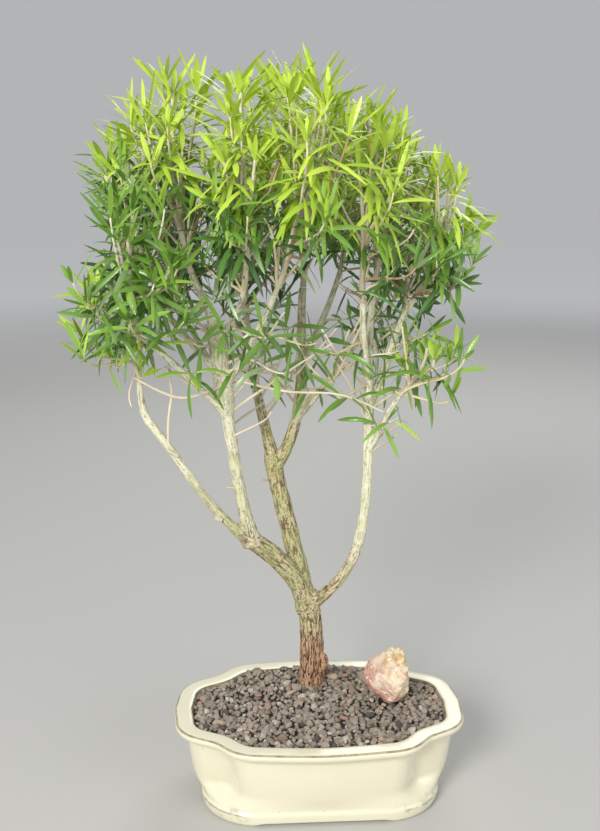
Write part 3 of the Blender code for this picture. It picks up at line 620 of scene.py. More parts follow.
@dataclass
class Pot:
    """Low lobed pot: rolled rim, cove, gently leaning wall, raised skirt and four bracket feet.

    The underside and the wall are rows of a height and how far the outline is moved in there.
    """

    half_length: float = 125.0
    half_depth: float = 87.5
    front_lobe_end: tuple[float, float] = (70.2, 81.8)
    notch: tuple[float, float] = (88.2, 61.1)
    side_lobe_end: tuple[float, float] = (120.5, 43.6)
    lobe_round: float = 37.0
    notch_round: float = 20.0
    side_round: float = 34.0
    side_bow: float = 1.2
    foot_height: float = 3.0
    foot_gap_half_length: float = 50.0
    foot_gap_half_depth: float = 24.0
    foot_slope: float = 9.0
    base_half_length: float = 101.0
    base_half_depth: float = 68.4
    base_round: float = 48.0
    base_inset: float = 18.0
    base_top: float = 11.0
    lobes_from: float = 28.0
    fold: float = 2.6
    fold_width: float = 9.0
    fold_top: float = 64.0
    fold_eases: tuple[float, float] = (14.0, 12.0)
    rim_line: tuple[float, float, float] = (71.5, 72.5, 3.0)
    inner_line: tuple[float, float, float] = (69.0, 14.6, 16.3)
    underside: tuple = ((3.0, 60.0), (3.0, 34.5), (0.0, 33.6))
    wall: tuple = (
        (0.0, 20.2), (0.7, 18.9), (2.8, 17.9), (8.6, 17.0), (10.3, 17.1), (11.5, 18.3), (13.6, 18.5),
        (24.0, 15.6), (33.0, 13.6), (42.0, 12.1), (52.0, 10.9), (59.5, 10.0), (62.6, 9.3), (64.3, 7.6),
        (65.2, 4.4), (66.3, 1.7), (68.2, 0.4), (70.4, 0.05), (71.8, 0.8), (72.6, 2.2), (72.95, 4.0),
        (72.9, 11.5), (72.5, 14.2), (71.6, 15.6), (69.5, 16.4), (62.0, 17.4),
    )

    def fillet(
        self, before: Vector, corner: Vector, after: Vector, radius: float, steps: int
    ) -> list[Vector]:
        """Points of the arc that rounds a corner."""
        into = (corner - before).normalized()
        out = (after - corner).normalized()
        turn = into.angle(out)
        start = corner - into * radius * math.tan(turn / 2)
        side = Vector((-into.y, into.x))
        if side.dot(out) < 0:
            side = -side
        centre = start + side * radius
        arc = [turn * i / steps for i in range(steps + 1)]
        return [centre - side * radius * math.cos(a) + into * radius * math.sin(a) for a in arc]

    def outline(self) -> list[Vector]:
        """The rim's outline, anticlockwise from the middle of the right side."""
        side = Vector((self.half_length, 0.0))
        front = Vector((0.0, self.half_depth))
        lobe, notch, end = Vector(self.front_lobe_end), Vector(self.notch), Vector(self.side_lobe_end)
        first = self.fillet(side, end, notch, self.side_round, 10)
        quarter = [side.lerp(first[0], i / 6) for i in range(6)] + first
        second = self.fillet(end, notch, lobe, self.notch_round, 6)
        quarter += [first[-1].lerp(second[0], i / 3) for i in (1, 2)] + second
        third = self.fillet(notch, lobe, front, self.lobe_round, 9)
        quarter += [second[-1].lerp(third[0], 0.5)] + third
        last = quarter[-1]
        for i in range(1, 13):
            share = i / 12
            bow = self.side_bow * 4 * share * (1 - share) * 0.5
            quarter.append(last.lerp(front, share) + Vector((0.0, bow)))
        half = quarter + [Vector((-p.x, p.y)) for p in reversed(quarter[:-1])]
        return half + [Vector((p.x, -p.y)) for p in reversed(half[1:-1])]

    def inset(self, outline: list[Vector], amount: float) -> list[Vector]:
        """The outline moved in along its own normals."""
        count = len(outline)
        moved = []
        for i, point in enumerate(outline):
            before = (point - outline[i - 1]).normalized()
            after = (outline[(i + 1) % count] - point).normalized()
            along = (before + after).normalized()
            moved.append(point + Vector((-along.y, along.x)) * amount)
        return moved

    def gap_lift(self, point: Vector) -> float:
        """How far the pot's foot is lifted off the ground at a spot of its outline."""
        past_length = (abs(point.x) - self.foot_gap_half_length) / self.foot_slope
        past_depth = (abs(point.y) - self.foot_gap_half_depth) / self.foot_slope
        return self.foot_height * eased(1.0 - max(0.0, min(past_length, past_depth)))

    def base_ring(self, outline: list[Vector], outset: float) -> list[Vector]:
        """The base's rounded box, with a point in the direction of each point of the rim."""
        length = self.base_half_length + outset
        depth = self.base_half_depth + outset
        points = []
        for point in outline:
            near, far = 0.0, 1.5
            for _ in range(24):
                share = (near + far) / 2
                over_x = max(abs(point.x) * share - length + self.base_round, 0.0)
                over_y = max(abs(point.y) * share - depth + self.base_round, 0.0)
                if math.hypot(over_x, over_y) < self.base_round:
                    near = share
                else:
                    far = share
            points.append(point * near)
        return points

    def wall_ring(self, outline: list[Vector], height: float, amount: float) -> list[Vector]:
        """The wall at one height: the base's rounded box below, lobed above, eased between."""
        lobed = self.folded(self.inset(outline, amount), outline, height)
        if height >= self.lobes_from or amount > 30.0:
            return lobed
        ease = eased((self.lobes_from - height) / (self.lobes_from - self.base_top))
        base = self.base_ring(outline, self.base_inset - amount)
        return [a.lerp(b, ease) for a, b in zip(lobed, base)]

    def folded(self, ring: list[Vector], outline: list[Vector], height: float) -> list[Vector]:
        """The wall's ring with a crisp upright fold pressed in at each of the four notches."""
        if not self.base_top < height < self.fold_top:
            return ring
        starts, ends = self.fold_eases
        share = min(1.0, (height - self.base_top) / starts, (self.fold_top - height) / ends)
        pressed = []
        for point, rim in zip(ring, outline):
            away = math.hypot(abs(rim.x) - self.notch[0], abs(rim.y) - self.notch[1])
            depth = self.fold * share * math.exp(-((away / self.fold_width) ** 2))
            pressed.append(point - point.normalized() * depth)
        return pressed

    def smooth_profile(self) -> list[tuple[float, float]]:
        """The wall's profile with its corners cut twice, after the flat underside."""
        rows = list(self.wall)
        for _ in range(2):
            cut = [rows[0]]
            for a, b in zip(rows, rows[1:]):
                cut.append((a[0] * 0.75 + b[0] * 0.25, a[1] * 0.75 + b[1] * 0.25))
                cut.append((a[0] * 0.25 + b[0] * 0.75, a[1] * 0.25 + b[1] * 0.75))
            cut.append(rows[-1])
            rows = cut
        return list(self.underside) + rows

    def tone(self, height: float, amount: float) -> int:
        """Which material the wall has over one row of its profile: glaze, rim line or inner line."""
        low, high, outer = self.rim_line
        if low < height < high and amount < outer:
            return 1
        low, outer, inner = self.inner_line
        return 2 if height > low and outer < amount < inner else 0

    def build(self, shop: Workshop) -> None:
        """Make the pot, with a brown line along each thinly glazed edge."""
        outline = self.outline()
        bm = bmesh.new()
        rows = []
        profile = self.smooth_profile()
        soft_top = self.foot_height + 3.0
        for height, amount in profile:
            row = []
            for point in self.wall_ring(outline, height, amount):
                lift = self.gap_lift(point) if height < soft_top else 0.0
                raised = max(0.0, lift - height) * max(0.0, 1.0 - height / soft_top)
                row.append(bm.verts.new((point.x, point.y, height + raised)))
            rows.append(row)
        loft(bm, rows, [self.tone(height, amount) for height, amount in profile])
        mesh = mesh_from(bm, "pot_glazed")
        rim = ThinGlaze("rim_line", (0.24, 0.205, 0.115), (0.60, 0.56, 0.40), 0.45).material()
        edge = ThinGlaze("inner_line", (0.10, 0.07, 0.045), (0.5, 0.44, 0.30), 0.35).material()
        glaze = CreamGlaze(tuple(shop.shift)).material()
        shop.place("pot_glazed", mesh, [glaze, rim, edge], ["pot"], "cream_glaze")


# ---------------------------------------------------------------- grit and rock

GRIT_SHARES = {
    Grit.TAUPE: 44, Grit.GREY: 30, Grit.PALE: 9, Grit.CHARCOAL: 8, Grit.BROWN: 7, Grit.TAN: 2,
    Grit.TERRACOTTA: 1,
}

# the few large flat chips: spot, size and tone
CHIPS = (
    ((-24.0, 11.0), 7.0, Grit.TAN), ((15.0, 40.0), 7.4, Grit.TAN), ((27.0, 42.0), 4.4, Grit.TERRACOTTA),
    ((-52.0, 13.0), 4.4, Grit.TERRACOTTA), ((31.0, 17.0), 5.4, Grit.BROWN),
)


@dataclass
class GritBed:
    """Angular grit that fills the pot level with its rim and mounds at the trunk."""

    pot: Pot
    edge_height: float = 70.6
    mound_height: float = 76.4
    foot: tuple[float, float] = (-4.0, 36.0)
    seat_radius: float = 19.0
    mound_spread: float = 42.0
    bed_inset: float = 16.6
    bed_thickness: float = 8.0
    bed_sunk: float = 2.6
    bed_shares: tuple = (1.0, 0.9, 0.78, 0.66, 0.54, 0.42, 0.3, 0.18)
    grain_inset: float = 17.4
    trunk_room: float = 11.0
    spacing: float = 5.0
    layers: tuple[float, float] = (-2.2, -0.4)
    left_out: float = 0.12
    chip_lift: float = 1.6
    seed: int = 5
    sizes: tuple = (1.7, 2.2, 2.6, 2.6, 3.0, 3.4, 3.9, 4.6)

    def height(self, x: float, y: float) -> float:
        """Height of the bed at a spot."""
        away = max(0.0, math.hypot(x - self.foot[0], y - self.foot[1]) - self.seat_radius)
        swell = math.exp(-((away / self.mound_spread) ** 2))
        return self.edge_height + (self.mound_height - self.edge_height) * swell

    def grain_shapes(self, rng: random.Random) -> list[tuple[np.ndarray, np.ndarray]]:
        """A few dozen broken, angular grains to deal out."""
        shapes = []
        for _ in range(36):
            bm = bmesh.new()
            bmesh.ops.create_icosphere(bm, subdivisions=1, radius=1.0)
            for vert in bm.verts:
                vert.co *= rng.uniform(0.72, 1.18)
            for _ in range(3):
                way = Vector([rng.uniform(-1, 1) for _ in range(3)]).normalized()
                reach = rng.uniform(0.5, 0.8)
                for vert in bm.verts:
                    over = vert.co.dot(way) - reach
                    if over > 0:
                        vert.co -= way * over
            spots = np.array([v.co for v in bm.verts])
            faces = np.array([[v.index for v in f.verts] + [-1] for f in bm.faces])
            bm.free()
            shapes.append((spots, faces))
        return shapes

    def turned(self, rng: random.Random) -> np.ndarray:
        """A random rotation."""
        tilt = Matrix.Rotation(rng.uniform(-0.6, 0.6), 3, "X")
        tilt = tilt @ Matrix.Rotation(rng.uniform(-0.6, 0.6), 3, "Y")
        return np.array(tilt @ Matrix.Rotation(rng.uniform(0, 6.283), 3, "Z"))

    def build(self, shop: Workshop, rock: Rock) -> None:
        """Make the dark bed of painted shadow under the grains, and the grains themselves."""
        self.bed(shop)
        self.grains(shop, rock)

    def bed(self, shop: Workshop) -> None:
        """Make the dark bed, a painted shadow, that shows between the grains."""
        edge = self.pot.inset(self.pot.outline(), self.bed_inset)
        foot = Vector(self.foot)
        bm = bmesh.new()
        rows = [[bm.verts.new((p.x, p.y, self.edge_height - self.bed_thickness)) for p in edge]]
        for share in self.bed_shares:
            spots = [foot + (point - foot) * share for point in edge]
            rows.append([bm.verts.new((p.x, p.y, self.height(p.x, p.y) - self.bed_sunk)) for p in spots])
        loft(bm, rows)
        bm.faces.new(rows[-1])
        shadow = Plain("bed_shadow", (0.035, 0.030, 0.027)).material()
        shop.place("grit_bed", mesh_from(bm, "grit_bed"), [shadow], ["gravel"], "grey_gravel")

    def grains(self, shop: Workshop, rock: Rock) -> None:
        """Make every grain, in two layers, with the large chips on top."""
        rng = random.Random(self.seed)
        sheaf = Sheaf()
        shapes = self.grain_shapes(rng)
        tones = [number(tone) for tone, share in GRIT_SHARES.items() for _ in range(share)]
        inner = self.pot.inset(self.pot.outline(), self.grain_inset)
        for layer, lift in enumerate(self.layers):
            y = -self.pot.half_depth
            while y < self.pot.half_depth:
                x = -self.pot.half_length
                while x < self.pot.half_length:
                    px = x + rng.uniform(-0.5, 0.5) * self.spacing
                    py = y + rng.uniform(-0.5, 0.5) * self.spacing
                    x += self.spacing
                    if not self.inside(px, py, inner) or rng.random() < self.left_out * layer:
                        continue
                    from_trunk = math.hypot(px - self.foot[0], py - self.foot[1])
                    if from_trunk < self.trunk_room or rock.covers(px, py):
                        continue
                    self.grain(sheaf, rng, shapes, (px, py, self.height(px, py) + lift), tones)
                y += self.spacing
        for (x, y), size, tone in CHIPS:
            spots, faces = shapes[3]
            flat = np.array((size, size * 0.75, size * 0.34))
            base = (x, y, self.height(x, y) + self.chip_lift)
            sheaf.add(spots * flat @ self.turned(rng).T + base, faces, number(tone))
        mesh = sheaf.mesh("grit_grains", False)
        shop.place("grit_grains", mesh, paints(Grit, "grit_", 0.95), ["gravel"], "grey_gravel")

    def grain(
        self, sheaf: Sheaf, rng: random.Random, shapes: list, spot: Triple, tones: list[int]
    ) -> None:
        """Drop one grain."""
        spots, faces = shapes[rng.randrange(len(shapes))]
        size = rng.choice(self.sizes) * rng.uniform(0.9, 1.12)
        flat = np.array((size, size * rng.uniform(0.65, 1.0), size * rng.uniform(0.5, 0.8)))
        tone = tones[rng.randrange(len(tones))]
        sheaf.add((spots * flat) @ self.turned(rng).T + np.array(spot), faces, tone)

    def inside(self, x: float, y: float, ring: list[Vector]) -> bool:
        """Whether a spot lies inside the pot's rim."""
        hit = False
        count = len(ring)
        for i in range(count):
            a, b = ring[i], ring[(i + 1) % count]
            if (a.y > y) != (b.y > y) and x < (b.x - a.x) * (y - a.y) / (b.y - a.y) + a.x:
                hit = not hit
        return hit


@dataclass
class Rock:
    """Upright lumpy stone beside the trunk, layered and broken."""

    place: tuple[float, float] = (61.0, 6.0)
    half: Triple = (20.2, 18.0, 24.0)
    sink: float = 4.0
    base: float = 71.0
    settled: float = 1.6
    grains_kept_off: tuple[float, float] = (9.5, 8.5)
    flats: tuple = (
        ((-0.72, -0.25, 0.64), 0.80), ((0.93, -0.18, 0.10), 0.86), ((0.42, -0.62, 0.66), 0.84),
        ((-0.35, -0.90, -0.10), 0.84), ((-0.92, -0.20, -0.30), 0.90), ((0.15, 0.95, 0.25), 0.82),
        ((-0.62, -0.30, -0.72), 0.72), ((0.46, -0.20, -0.86), 0.88),
    )

    def covers(self, x: float, y: float) -> bool:
        """Whether a spot lies under the rock's foot."""
        along, across = self.grains_kept_off
        return math.hypot((x - self.place[0]) / along, (y - self.place[1]) / across) < 1.0

    def build(self, shop: Workshop) -> None:
        """Make the stone."""
        low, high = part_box("rock")
        middle = (low + high) / 2
        bm = bmesh.new()
        bmesh.ops.create_icosphere(bm, subdivisions=6, radius=1.0)
        for vert in bm.verts:
            way = vert.co.normalized()
            lump = 1.0 + 0.30 * noise.noise(way * 1.3 + Vector((4.0, 1.0, 2.0)))
            lump += 0.10 * noise.noise(way * 4.1 + Vector((1.0, 7.0, 3.0)))
            spot = way * lump
            for facing, reach in self.flats:
                normal = Vector(facing).normalized()
                spot -= normal * max(spot.dot(normal) - reach, 0.0) * 0.85
            crag = noise.hetero_terrain(way * 3.4 + Vector((5.0, 2.0, 8.0)), 0.9, 2.2, 6, 0.6)
            bed = (spot.z * 0.8 + spot.x * 0.6) * 9.0 + 1.6 * noise.noise(way * 2.4)
            ledge = abs(bed - math.floor(bed) - 0.5) * 2.0
            spot *= 1.0 + 0.045 * (crag - 0.7) + 0.035 * (ledge - 0.5)
            vert.co = Vector((spot.x * self.half[0], spot.y * self.half[1], spot.z * self.half[2]))
        bottom = min(vert.co.z for vert in bm.verts)
        for vert in bm.verts:
            vert.co += Vector((*self.place, self.base - bottom - self.sink + self.settled))
        finish = RockFinish(tuple(middle)).material()
        shop.place("rock_pink", mesh_from(bm, "rock_pink"), [finish], ["rock"], "pink_rock")


# ---------------------------------------------------------------- limbs

class Curve:
    """A tapering limb or shoot along one smooth curve."""

    def __init__(
        self, start: Vector, sets_off: Vector, tip: Vector, arrives: Vector, radii: tuple[float, float],
        collar: float = 0.0, flare: float = 0.0,
    ) -> None:
        """Fix the curve's ends, headings and sizes."""
        self.start = Vector(start)
        self.tip = Vector(tip)
        self.length = (self.tip - self.start).length
        self.sets_off = Vector(sets_off).normalized() * self.length
        self.arrives = Vector(arrives).normalized() * self.length
        self.radii = radii
        self.collar = collar
        self.flare = flare
        self.gathered = (0.0, 1.0, 0.0)

    def point(self, t: float) -> Vector:
        """Place on the axis at share t."""
        return between(self.start, self.sets_off, self.tip, self.arrives, t)

    def heading(self, t: float) -> Vector:
        """Direction of the axis at share t."""
        if t <= 0.001:
            return self.sets_off.normalized()
        if t >= 0.999:
            return self.arrives.normalized()
        return (self.point(t + 0.001) - self.point(t - 0.001)).normalized()

    def radius(self, t: float) -> float:
        """Radius at share t: an even taper, the collar, what gathers higher up and the root flare."""
        even = self.radii[0] + (self.radii[1] - self.radii[0]) * t
        swell = self.collar * math.exp(-t * self.length / 11.0)
        start, end, more = self.gathered
        share = min(1.0, max(0.0, (t - start) / (end - start)))
        even += more * share * share * (3 - 2 * share)
        return even + swell + self.flare * math.exp(-t * self.length / 9.0)


@dataclass(frozen=True)
class LimbRow:
    """One limb's row of sizes."""

    name: str
    parent: str
    share: float
    tip: Triple
    sets_off: Triple | None
    arrives: Triple
    radii: tuple[float, float]
    collar: float


LIMBS = (
    LimbRow("left_low_bough", "trunk", 1.0, (-62, 16, 222), None, (-0.74, -0.18, 0.6), (9.0, 7.4), 0),
    LimbRow("middle_bough", "trunk", 0.90, (-37, 47, 280), (-0.2, 0.05, 1), (-0.2, 0.14, 1), (8.0, 7.2), 1.5),
    LimbRow("right_low_bough", "trunk", 0.80, (35, 15, 214), (0.9, -0.2, 0.75), (0.2, -0.15, 1),
            (4.9, 4.6), 2.6),
    LimbRow("left_outer_bough", "left_low_bough", 1.0, (-137, -4, 325), None, (-0.75, -0.1, 1),
            (4.1, 3.4), 2.4),
    LimbRow("left_upright_bough", "left_low_bough", 0.90, (-83, -8, 401), (-0.25, 0, 1), (-0.12, -0.1, 1),
            (5.4, 4.7), 4.0),
    LimbRow("left_knee_bough", "left_outer_bough", 1.0, (-147, -8, 374), None, (-0.3, -0.1, 1),
            (3.2, 2.4), 0.4),
    LimbRow("left_top_bough", "left_upright_bough", 1.0, (-101, -13, 446), None, (-0.3, -0.1, 1),
            (4.0, 2.6), 3.0),
    LimbRow("left_front_branch", "left_upright_bough", 0.62, (-132, -30, 392), (-1, -0.3, 0.9),
            (-1, -0.4, 0.8), (2.5, 1.8), 1),
    LimbRow("left_upper_branch", "left_upright_bough", 0.80, (-130, 2, 420), (-1, -0.2, 0.9), (-1, 0.1, 0.9),
            (2.5, 1.8), 1),
    LimbRow("left_back_branch", "left_upright_bough", 0.70, (-112, 44, 408), (-0.5, 1, 1.2), (-0.6, 0.7, 1),
            (2.5, 1.8), 1),
    LimbRow("centre_front_branch", "left_upright_bough", 0.93, (-62, -38, 430), (0.4, -0.7, 1),
            (0.2, -0.4, 1), (2.6, 1.9), 1),
    LimbRow("centre_top_branch", "left_upright_bough", 0.74, (-38, -46, 432), (0.6, -0.7, 1), (0.4, -0.3, 1),
            (2.6, 1.9), 1),
    LimbRow("middle_left_bough", "middle_bough", 1.0, (-56, 76, 376), None, (-0.1, 0.2, 1), (5.2, 3.0), 1.8),
    LimbRow("middle_right_bough", "middle_bough", 0.95, (-10, 58, 428), (0.9, 0.1, 1.1), (0.1, 0.1, 1),
            (5.4, 3.3), 1.4),
    LimbRow("back_right_branch", "middle_right_bough", 0.58, (24, 92, 436), (0.5, 0.8, 1), (0.3, 0.3, 1),
            (2.7, 1.9), 1),
    LimbRow("inner_right_branch", "middle_right_bough", 0.30, (30, 34, 378), (1, -0.3, 1), (0.9, 0, 1),
            (2.0, 1.5), 0.8),
    LimbRow("right_bough", "right_low_bough", 1.0, (40, -2, 343), None, (0, -0.12, 1), (4.6, 4.0), 0),
    LimbRow("right_top_bough", "right_bough", 1.0, (43, 2, 428), None, (0.15, 0.1, 1), (3.8, 2.6), 0),
    LimbRow("right_front_branch", "right_top_bough", 0.22, (31, -24, 424), (-0.3, -0.2, 1), (-0.1, -0.3, 1),
            (2.8, 2.0), 1),
    LimbRow("right_outer_branch", "right_bough", 0.96, (78, 10, 424), (0.6, 0.2, 1), (0.7, 0, 1),
            (3.0, 2.0), 1),
    LimbRow("right_back_branch", "right_outer_branch", 0.45, (78, 56, 420), (0.3, 1, 1), (0.2, 0.7, 1),
            (2.3, 1.7), 0.8),
    LimbRow("right_low_branch", "right_bough", 0.66, (62, -26, 350), (0.7, -0.5, 1), (0.8, -0.3, 1),
            (2.3, 1.7), 0.8),
)


@dataclass(frozen=True)
class Axis:
    """One place on a limb's axis, with what its bark is like there."""

    spot: Vector
    along: Vector
    across: Vector
    size: float
    run: float
    age: float
    moss: float


# where shoots gather and thicken a bough: from one share to another, by so much
GATHERED = {"left_upright_bough": (0.54, 0.72, 2.8), "right_bough": (0.74, 1.0, 0.8)}

# (age, moss) at the foot and at the tip of each limb; the rest is pale and smooth
YOUNG_BARK = ((0.12, 0.1), (0.10, 0.0))
BARK_AGES = {
    "trunk": ((1.0, 0.0), (0.60, 0.5)),
    "left_low_bough": ((0.58, 0.6), (0.40, 0.5)),
    "middle_bough": ((0.62, 0.8), (0.52, 0.6)),
    "right_low_bough": ((0.52, 0.3), (0.28, 0.1)),
    "left_outer_bough": ((0.38, 1.0), (0.16, 0.2)),
    "left_upright_bough": ((0.30, 0.4), (0.18, 0.3)),
    "middle_left_bough": ((0.50, 0.4), (0.24, 0.2)),
    "middle_right_bough": ((0.50, 0.6), (0.30, 0.3)),
    "right_bough": ((0.18, 0.3), (0.12, 0.1)),
}


# two sets of furrows: how close together, an offset, how wide, and their share of the relief
FURROWS = ((0.52, (3.0, 9.0, 1.0), 0.13, 0.46), (1.20, (7.0, 2.0, 5.0), 0.18, 0.32))

# old pruning knobs and stubs: middle and half sizes
LUMPS = (
    ((6.6, 30.0, 96.0), (4.6, 4.6, 10.0)), ((-13.0, 31.0, 152.0), (5.6, 5.2, 12.0)),
    ((-3.0, 31.0, 158.0), (7.0, 6.2, 9.0)), ((-36.5, 46.5, 279.0), (7.8, 7.0, 9.0)),
    ((35.0, 14.6, 214.0), (5.0, 4.8, 6.0)),
)


@dataclass
class Limbs:
    """Trunk and boughs with the relief of their bark."""

    foot: Triple = (-4.0, 36.0, 76.7)
    trunk_tip: Triple = (-12.0, 33.0, 165.0)
    trunk_radii: tuple[float, float] = (10.3, 9.8)
    root_flare: float = 1.6
    ring_gap: float = 2.2
    ring_sides: tuple = ((9.0, 40), (5.0, 28), (0.0, 18))
    axis_gap: float = 3.0
    skin: float = 0.9
    thin: float = 3.1
    thickened: float = 1.22
    drawn_out: float = 0.12
    bark_apart: float = 170.0
    bark_depth: tuple[float, float] = (0.35, 1.9)
    bark_level: float = 0.72
    full_bark: float = 8.5
    full_swell: float = 6.0
    scar: Triple = (-36.6, 39.6, 269.0)
    curves: dict[str, Curve] = field(default_factory=dict)

    def plan(self) -> None:
        """Work out every limb's curve from its row."""
        self.curves["trunk"] = Curve(
            self.foot, UP, self.trunk_tip, (-0.4, -0.1, 0.9), self.trunk_radii, 0.0, self.root_flare
        )
        for row in LIMBS:
            stock = self.curves[row.parent]
            start = stock.point(row.share)
            sets_off = row.sets_off
            if row.share == 1.0:
                sets_off = stock.heading(1.0)
                start = start + sets_off * 0.3
            more = self.thickened if row.radii[0] < self.thin else 1.0
            radii = (row.radii[0] * more, row.radii[1] * more)
            curve = Curve(start, sets_off, row.tip, row.arrives, radii, row.collar)
            curve.gathered = GATHERED.get(row.name, curve.gathered)
            self.curves[row.name] = curve

    def tube(self, bm: bmesh.types.BMesh, curve: Curve, sunk: float) -> None:
        """Lay one limb's rough skin into a bmesh, its foot sunk into what it grows from."""
        steps = max(8, round(curve.length / self.ring_gap))
        sides = next(count for over, count in self.ring_sides if curve.radii[0] > over)
        rows = []
        shares = [-sunk / curve.length] + [i / steps for i in range(steps + 1)]
        for t in shares:
            above = max(t, 0.0)
            along = curve.heading(above)
            across = level_across(along)
            other = along.cross(across)
            centre = curve.point(above) + along * min(t, 0.0) * curve.length
            size = curve.radius(above)
            row = []
            for i in range(sides):
                angle = TURN * i / sides
                way = across * math.cos(angle) + other * math.sin(angle)
                wave = 1.0 + 0.05 * noise.noise(centre * 0.06 + way * 1.4)
                row.append(bm.verts.new(centre + way * size * wave))
            rows.append(row)
        loft(bm, rows)
        bm.faces.new(rows[-1])

    def knobs(self, bm: bmesh.types.BMesh) -> None:
        """Lay the old pruning knobs and stubs into the skin."""
        for spot, half in LUMPS:
            ball = bmesh.ops.create_icosphere(bm, subdivisions=3, radius=1.0)
            for vert in ball["verts"]:
                vert.co = Vector(spot) + Vector([vert.co[i] * half[i] for i in range(3)])

    def relief(self, run: Vector) -> float:
        """How high the bark stands, 0 in a furrow to 1 on a ridge, at a place on the unrolled bark."""
        rise = 0.0
        for closeness, offset, width, share in FURROWS:
            rise += min(1.0, abs(noise.noise(run * closeness + Vector(offset))) / width) * share
        return rise + (0.5 + 0.5 * noise.noise(run * 2.1)) * 0.22

    def build(self, shop: Workshop) -> None:
        """Fuse the limbs into one skin and raise its bark."""
        bm = bmesh.new()
        for name, curve in self.curves.items():
            self.tube(bm, curve, 3.0 if name == "trunk" else 2.0 + curve.radii[0] * 0.4)
        self.knobs(bm)
        raw = mesh_from(bm, "bark_raw")
        mould = linked("bark_mould", raw)
        remesh = mould.modifiers.new("skin", "REMESH")
        remesh.mode = "VOXEL"
        remesh.voxel_size = self.skin
        soften = mould.modifiers.new("soften", "SMOOTH")
        soften.factor = 0.5
        soften.iterations = 4
        graph = bpy.context.evaluated_depsgraph_get()
        mesh = bpy.data.meshes.new_from_object(mould.evaluated_get(graph))
        bpy.data.objects.remove(mould)
        bpy.data.meshes.remove(raw)
        self.raise_bark(mesh)
        mesh.polygons.foreach_set("use_smooth", [True] * len(mesh.polygons))
        scar = tuple(Vector(self.scar) * MM + shop.shift)
        shop.place("bark_limbs", mesh, [BarkFinish(scar).material()], list(self.curves), "brown_bark")

    def raise_bark(self, mesh: bpy.types.Mesh) -> None:
        """Raise ridges that run along each limb, and note where and how old the bark is."""
        tree, axes = self.axis_tree()
        least, more = self.bark_depth
        runs = mesh.attributes.new(BARK_RUN, "FLOAT_VECTOR", "POINT")
        tints = mesh.attributes.new(BARK_TINT, "FLOAT_VECTOR", "POINT")
        normals = [vert.normal.copy() for vert in mesh.vertices]
        for index, (vert, normal) in enumerate(zip(mesh.vertices, normals)):
            near = [axes[which] for _, which, _ in tree.find_n(vert.co, 5)]
            axis = near[0]
            off = vert.co - axis.spot
            other = axis.along.cross(axis.across)
            length = (axis.run + off.dot(axis.along)) * self.drawn_out
            run = Vector((off.dot(axis.across), off.dot(other), length))
            age = sum(spot.age for spot in near) / len(near)
            moss = sum(spot.moss for spot in near) / len(near)
            rise = self.relief(run)
            deep = (least + more * age * age) * min(1.0, axis.size / self.full_bark)
            swell = noise.noise(vert.co * 0.06) * 0.7 + noise.noise(vert.co * 0.19) * 0.35
            runs.data[index].vector = run * MM
            tints.data[index].vector = (age, rise, moss)
            swell *= min(1.0, axis.size / self.full_swell)
            vert.co += normal * ((rise - self.bark_level) * deep + swell)

    def axis_tree(self) -> tuple[KDTree, list[Axis]]:
        """Places along every limb's axis."""
        axes = []
        for place, (name, curve) in enumerate(self.curves.items()):
            foot, tip = BARK_AGES.get(name, YOUNG_BARK)
            steps = max(4, round(curve.length / self.axis_gap))
            for i in range(steps + 1):
                t = i / steps
                along = curve.heading(t)
                age = foot[0] + (tip[0] - foot[0]) * t
                moss = foot[1] + (tip[1] - foot[1]) * t
                run = curve.length * t + place * self.bark_apart
                size = curve.radius(t)
                axes.append(Axis(curve.point(t), along, level_across(along), size, run, age, moss))
        tree = KDTree(len(axes))
        for index, axis in enumerate(axes):
            tree.insert(axis.spot, index)
        tree.balance()
        return tree, axes


# ---------------------------------------------------------------- foliage

@dataclass(frozen=True)
class MassRow:
    """One mass of foliage: the limb it ends, its space and how many shoots the limb forks into."""

    name: str
    limb: str
    centre: Triple
    half: Triple
    shoots: int
    fullness: float = 1.0
    # below the painted light line, how much lighter the leaves grow toward their shoot tips
    fresh: float = 0.0


MASSES = (
    MassRow("left_low", "left_knee_bough", (-161, -14, 410), (52, 52, 64), 4, 0.9, 2.3),
    MassRow("left_front", "left_front_branch", (-140, -66, 460), (62, 54, 72), 5, 0.9, 0.7),
    MassRow("left_upper", "left_upper_branch", (-149, 12, 500), (60, 52, 78), 4),
    MassRow("left_top", "left_top_bough", (-112, -20, 530), (52, 50, 86), 4),
    MassRow("left_back", "left_back_branch", (-118, 78, 458), (62, 58, 72), 5),
    MassRow("centre_front", "centre_front_branch", (-62, -60, 514), (50, 54, 98), 5),
    MassRow("centre_top", "centre_top_branch", (-8, -66, 521), (52, 58, 100), 5),
    MassRow("middle_back", "middle_left_bough", (-58, 96, 474), (56, 58, 100), 5),
    MassRow("middle_top", "middle_right_bough", (-26, 38, 524), (56, 54, 94), 5),
    MassRow("back_right", "back_right_branch", (34, 100, 496), (54, 56, 80), 5),
    MassRow("inner_right", "inner_right_branch", (52, 38, 408), (38, 36, 48), 2, 0.6, 0.5),
    MassRow("right_top", "right_top_bough", (64, 20, 502), (50, 48, 82), 4),
    MassRow("right_front", "right_front_branch", (38, -48, 500), (50, 52, 92), 4),
    MassRow("right_outer", "right_outer_branch", (99, -10, 470), (52, 58, 76), 4),
    MassRow("right_back", "right_back_branch", (86, 74, 462), (54, 54, 70), 4),
    MassRow("right_low", "right_low_branch", (82, -28, 372), (54, 50, 52), 4, 0.45, 1.5),
)


@dataclass(frozen=True)
class Tier:
    """One storey of finer twigs within a mass, sized as shares of the mass's half height and reach."""

    count: int
    rise: tuple[float, float]
    out: tuple[float, float]
    fork: tuple[float, float]
    upright: float
    reach: tuple[float, float]
    newness: float
    bare: float


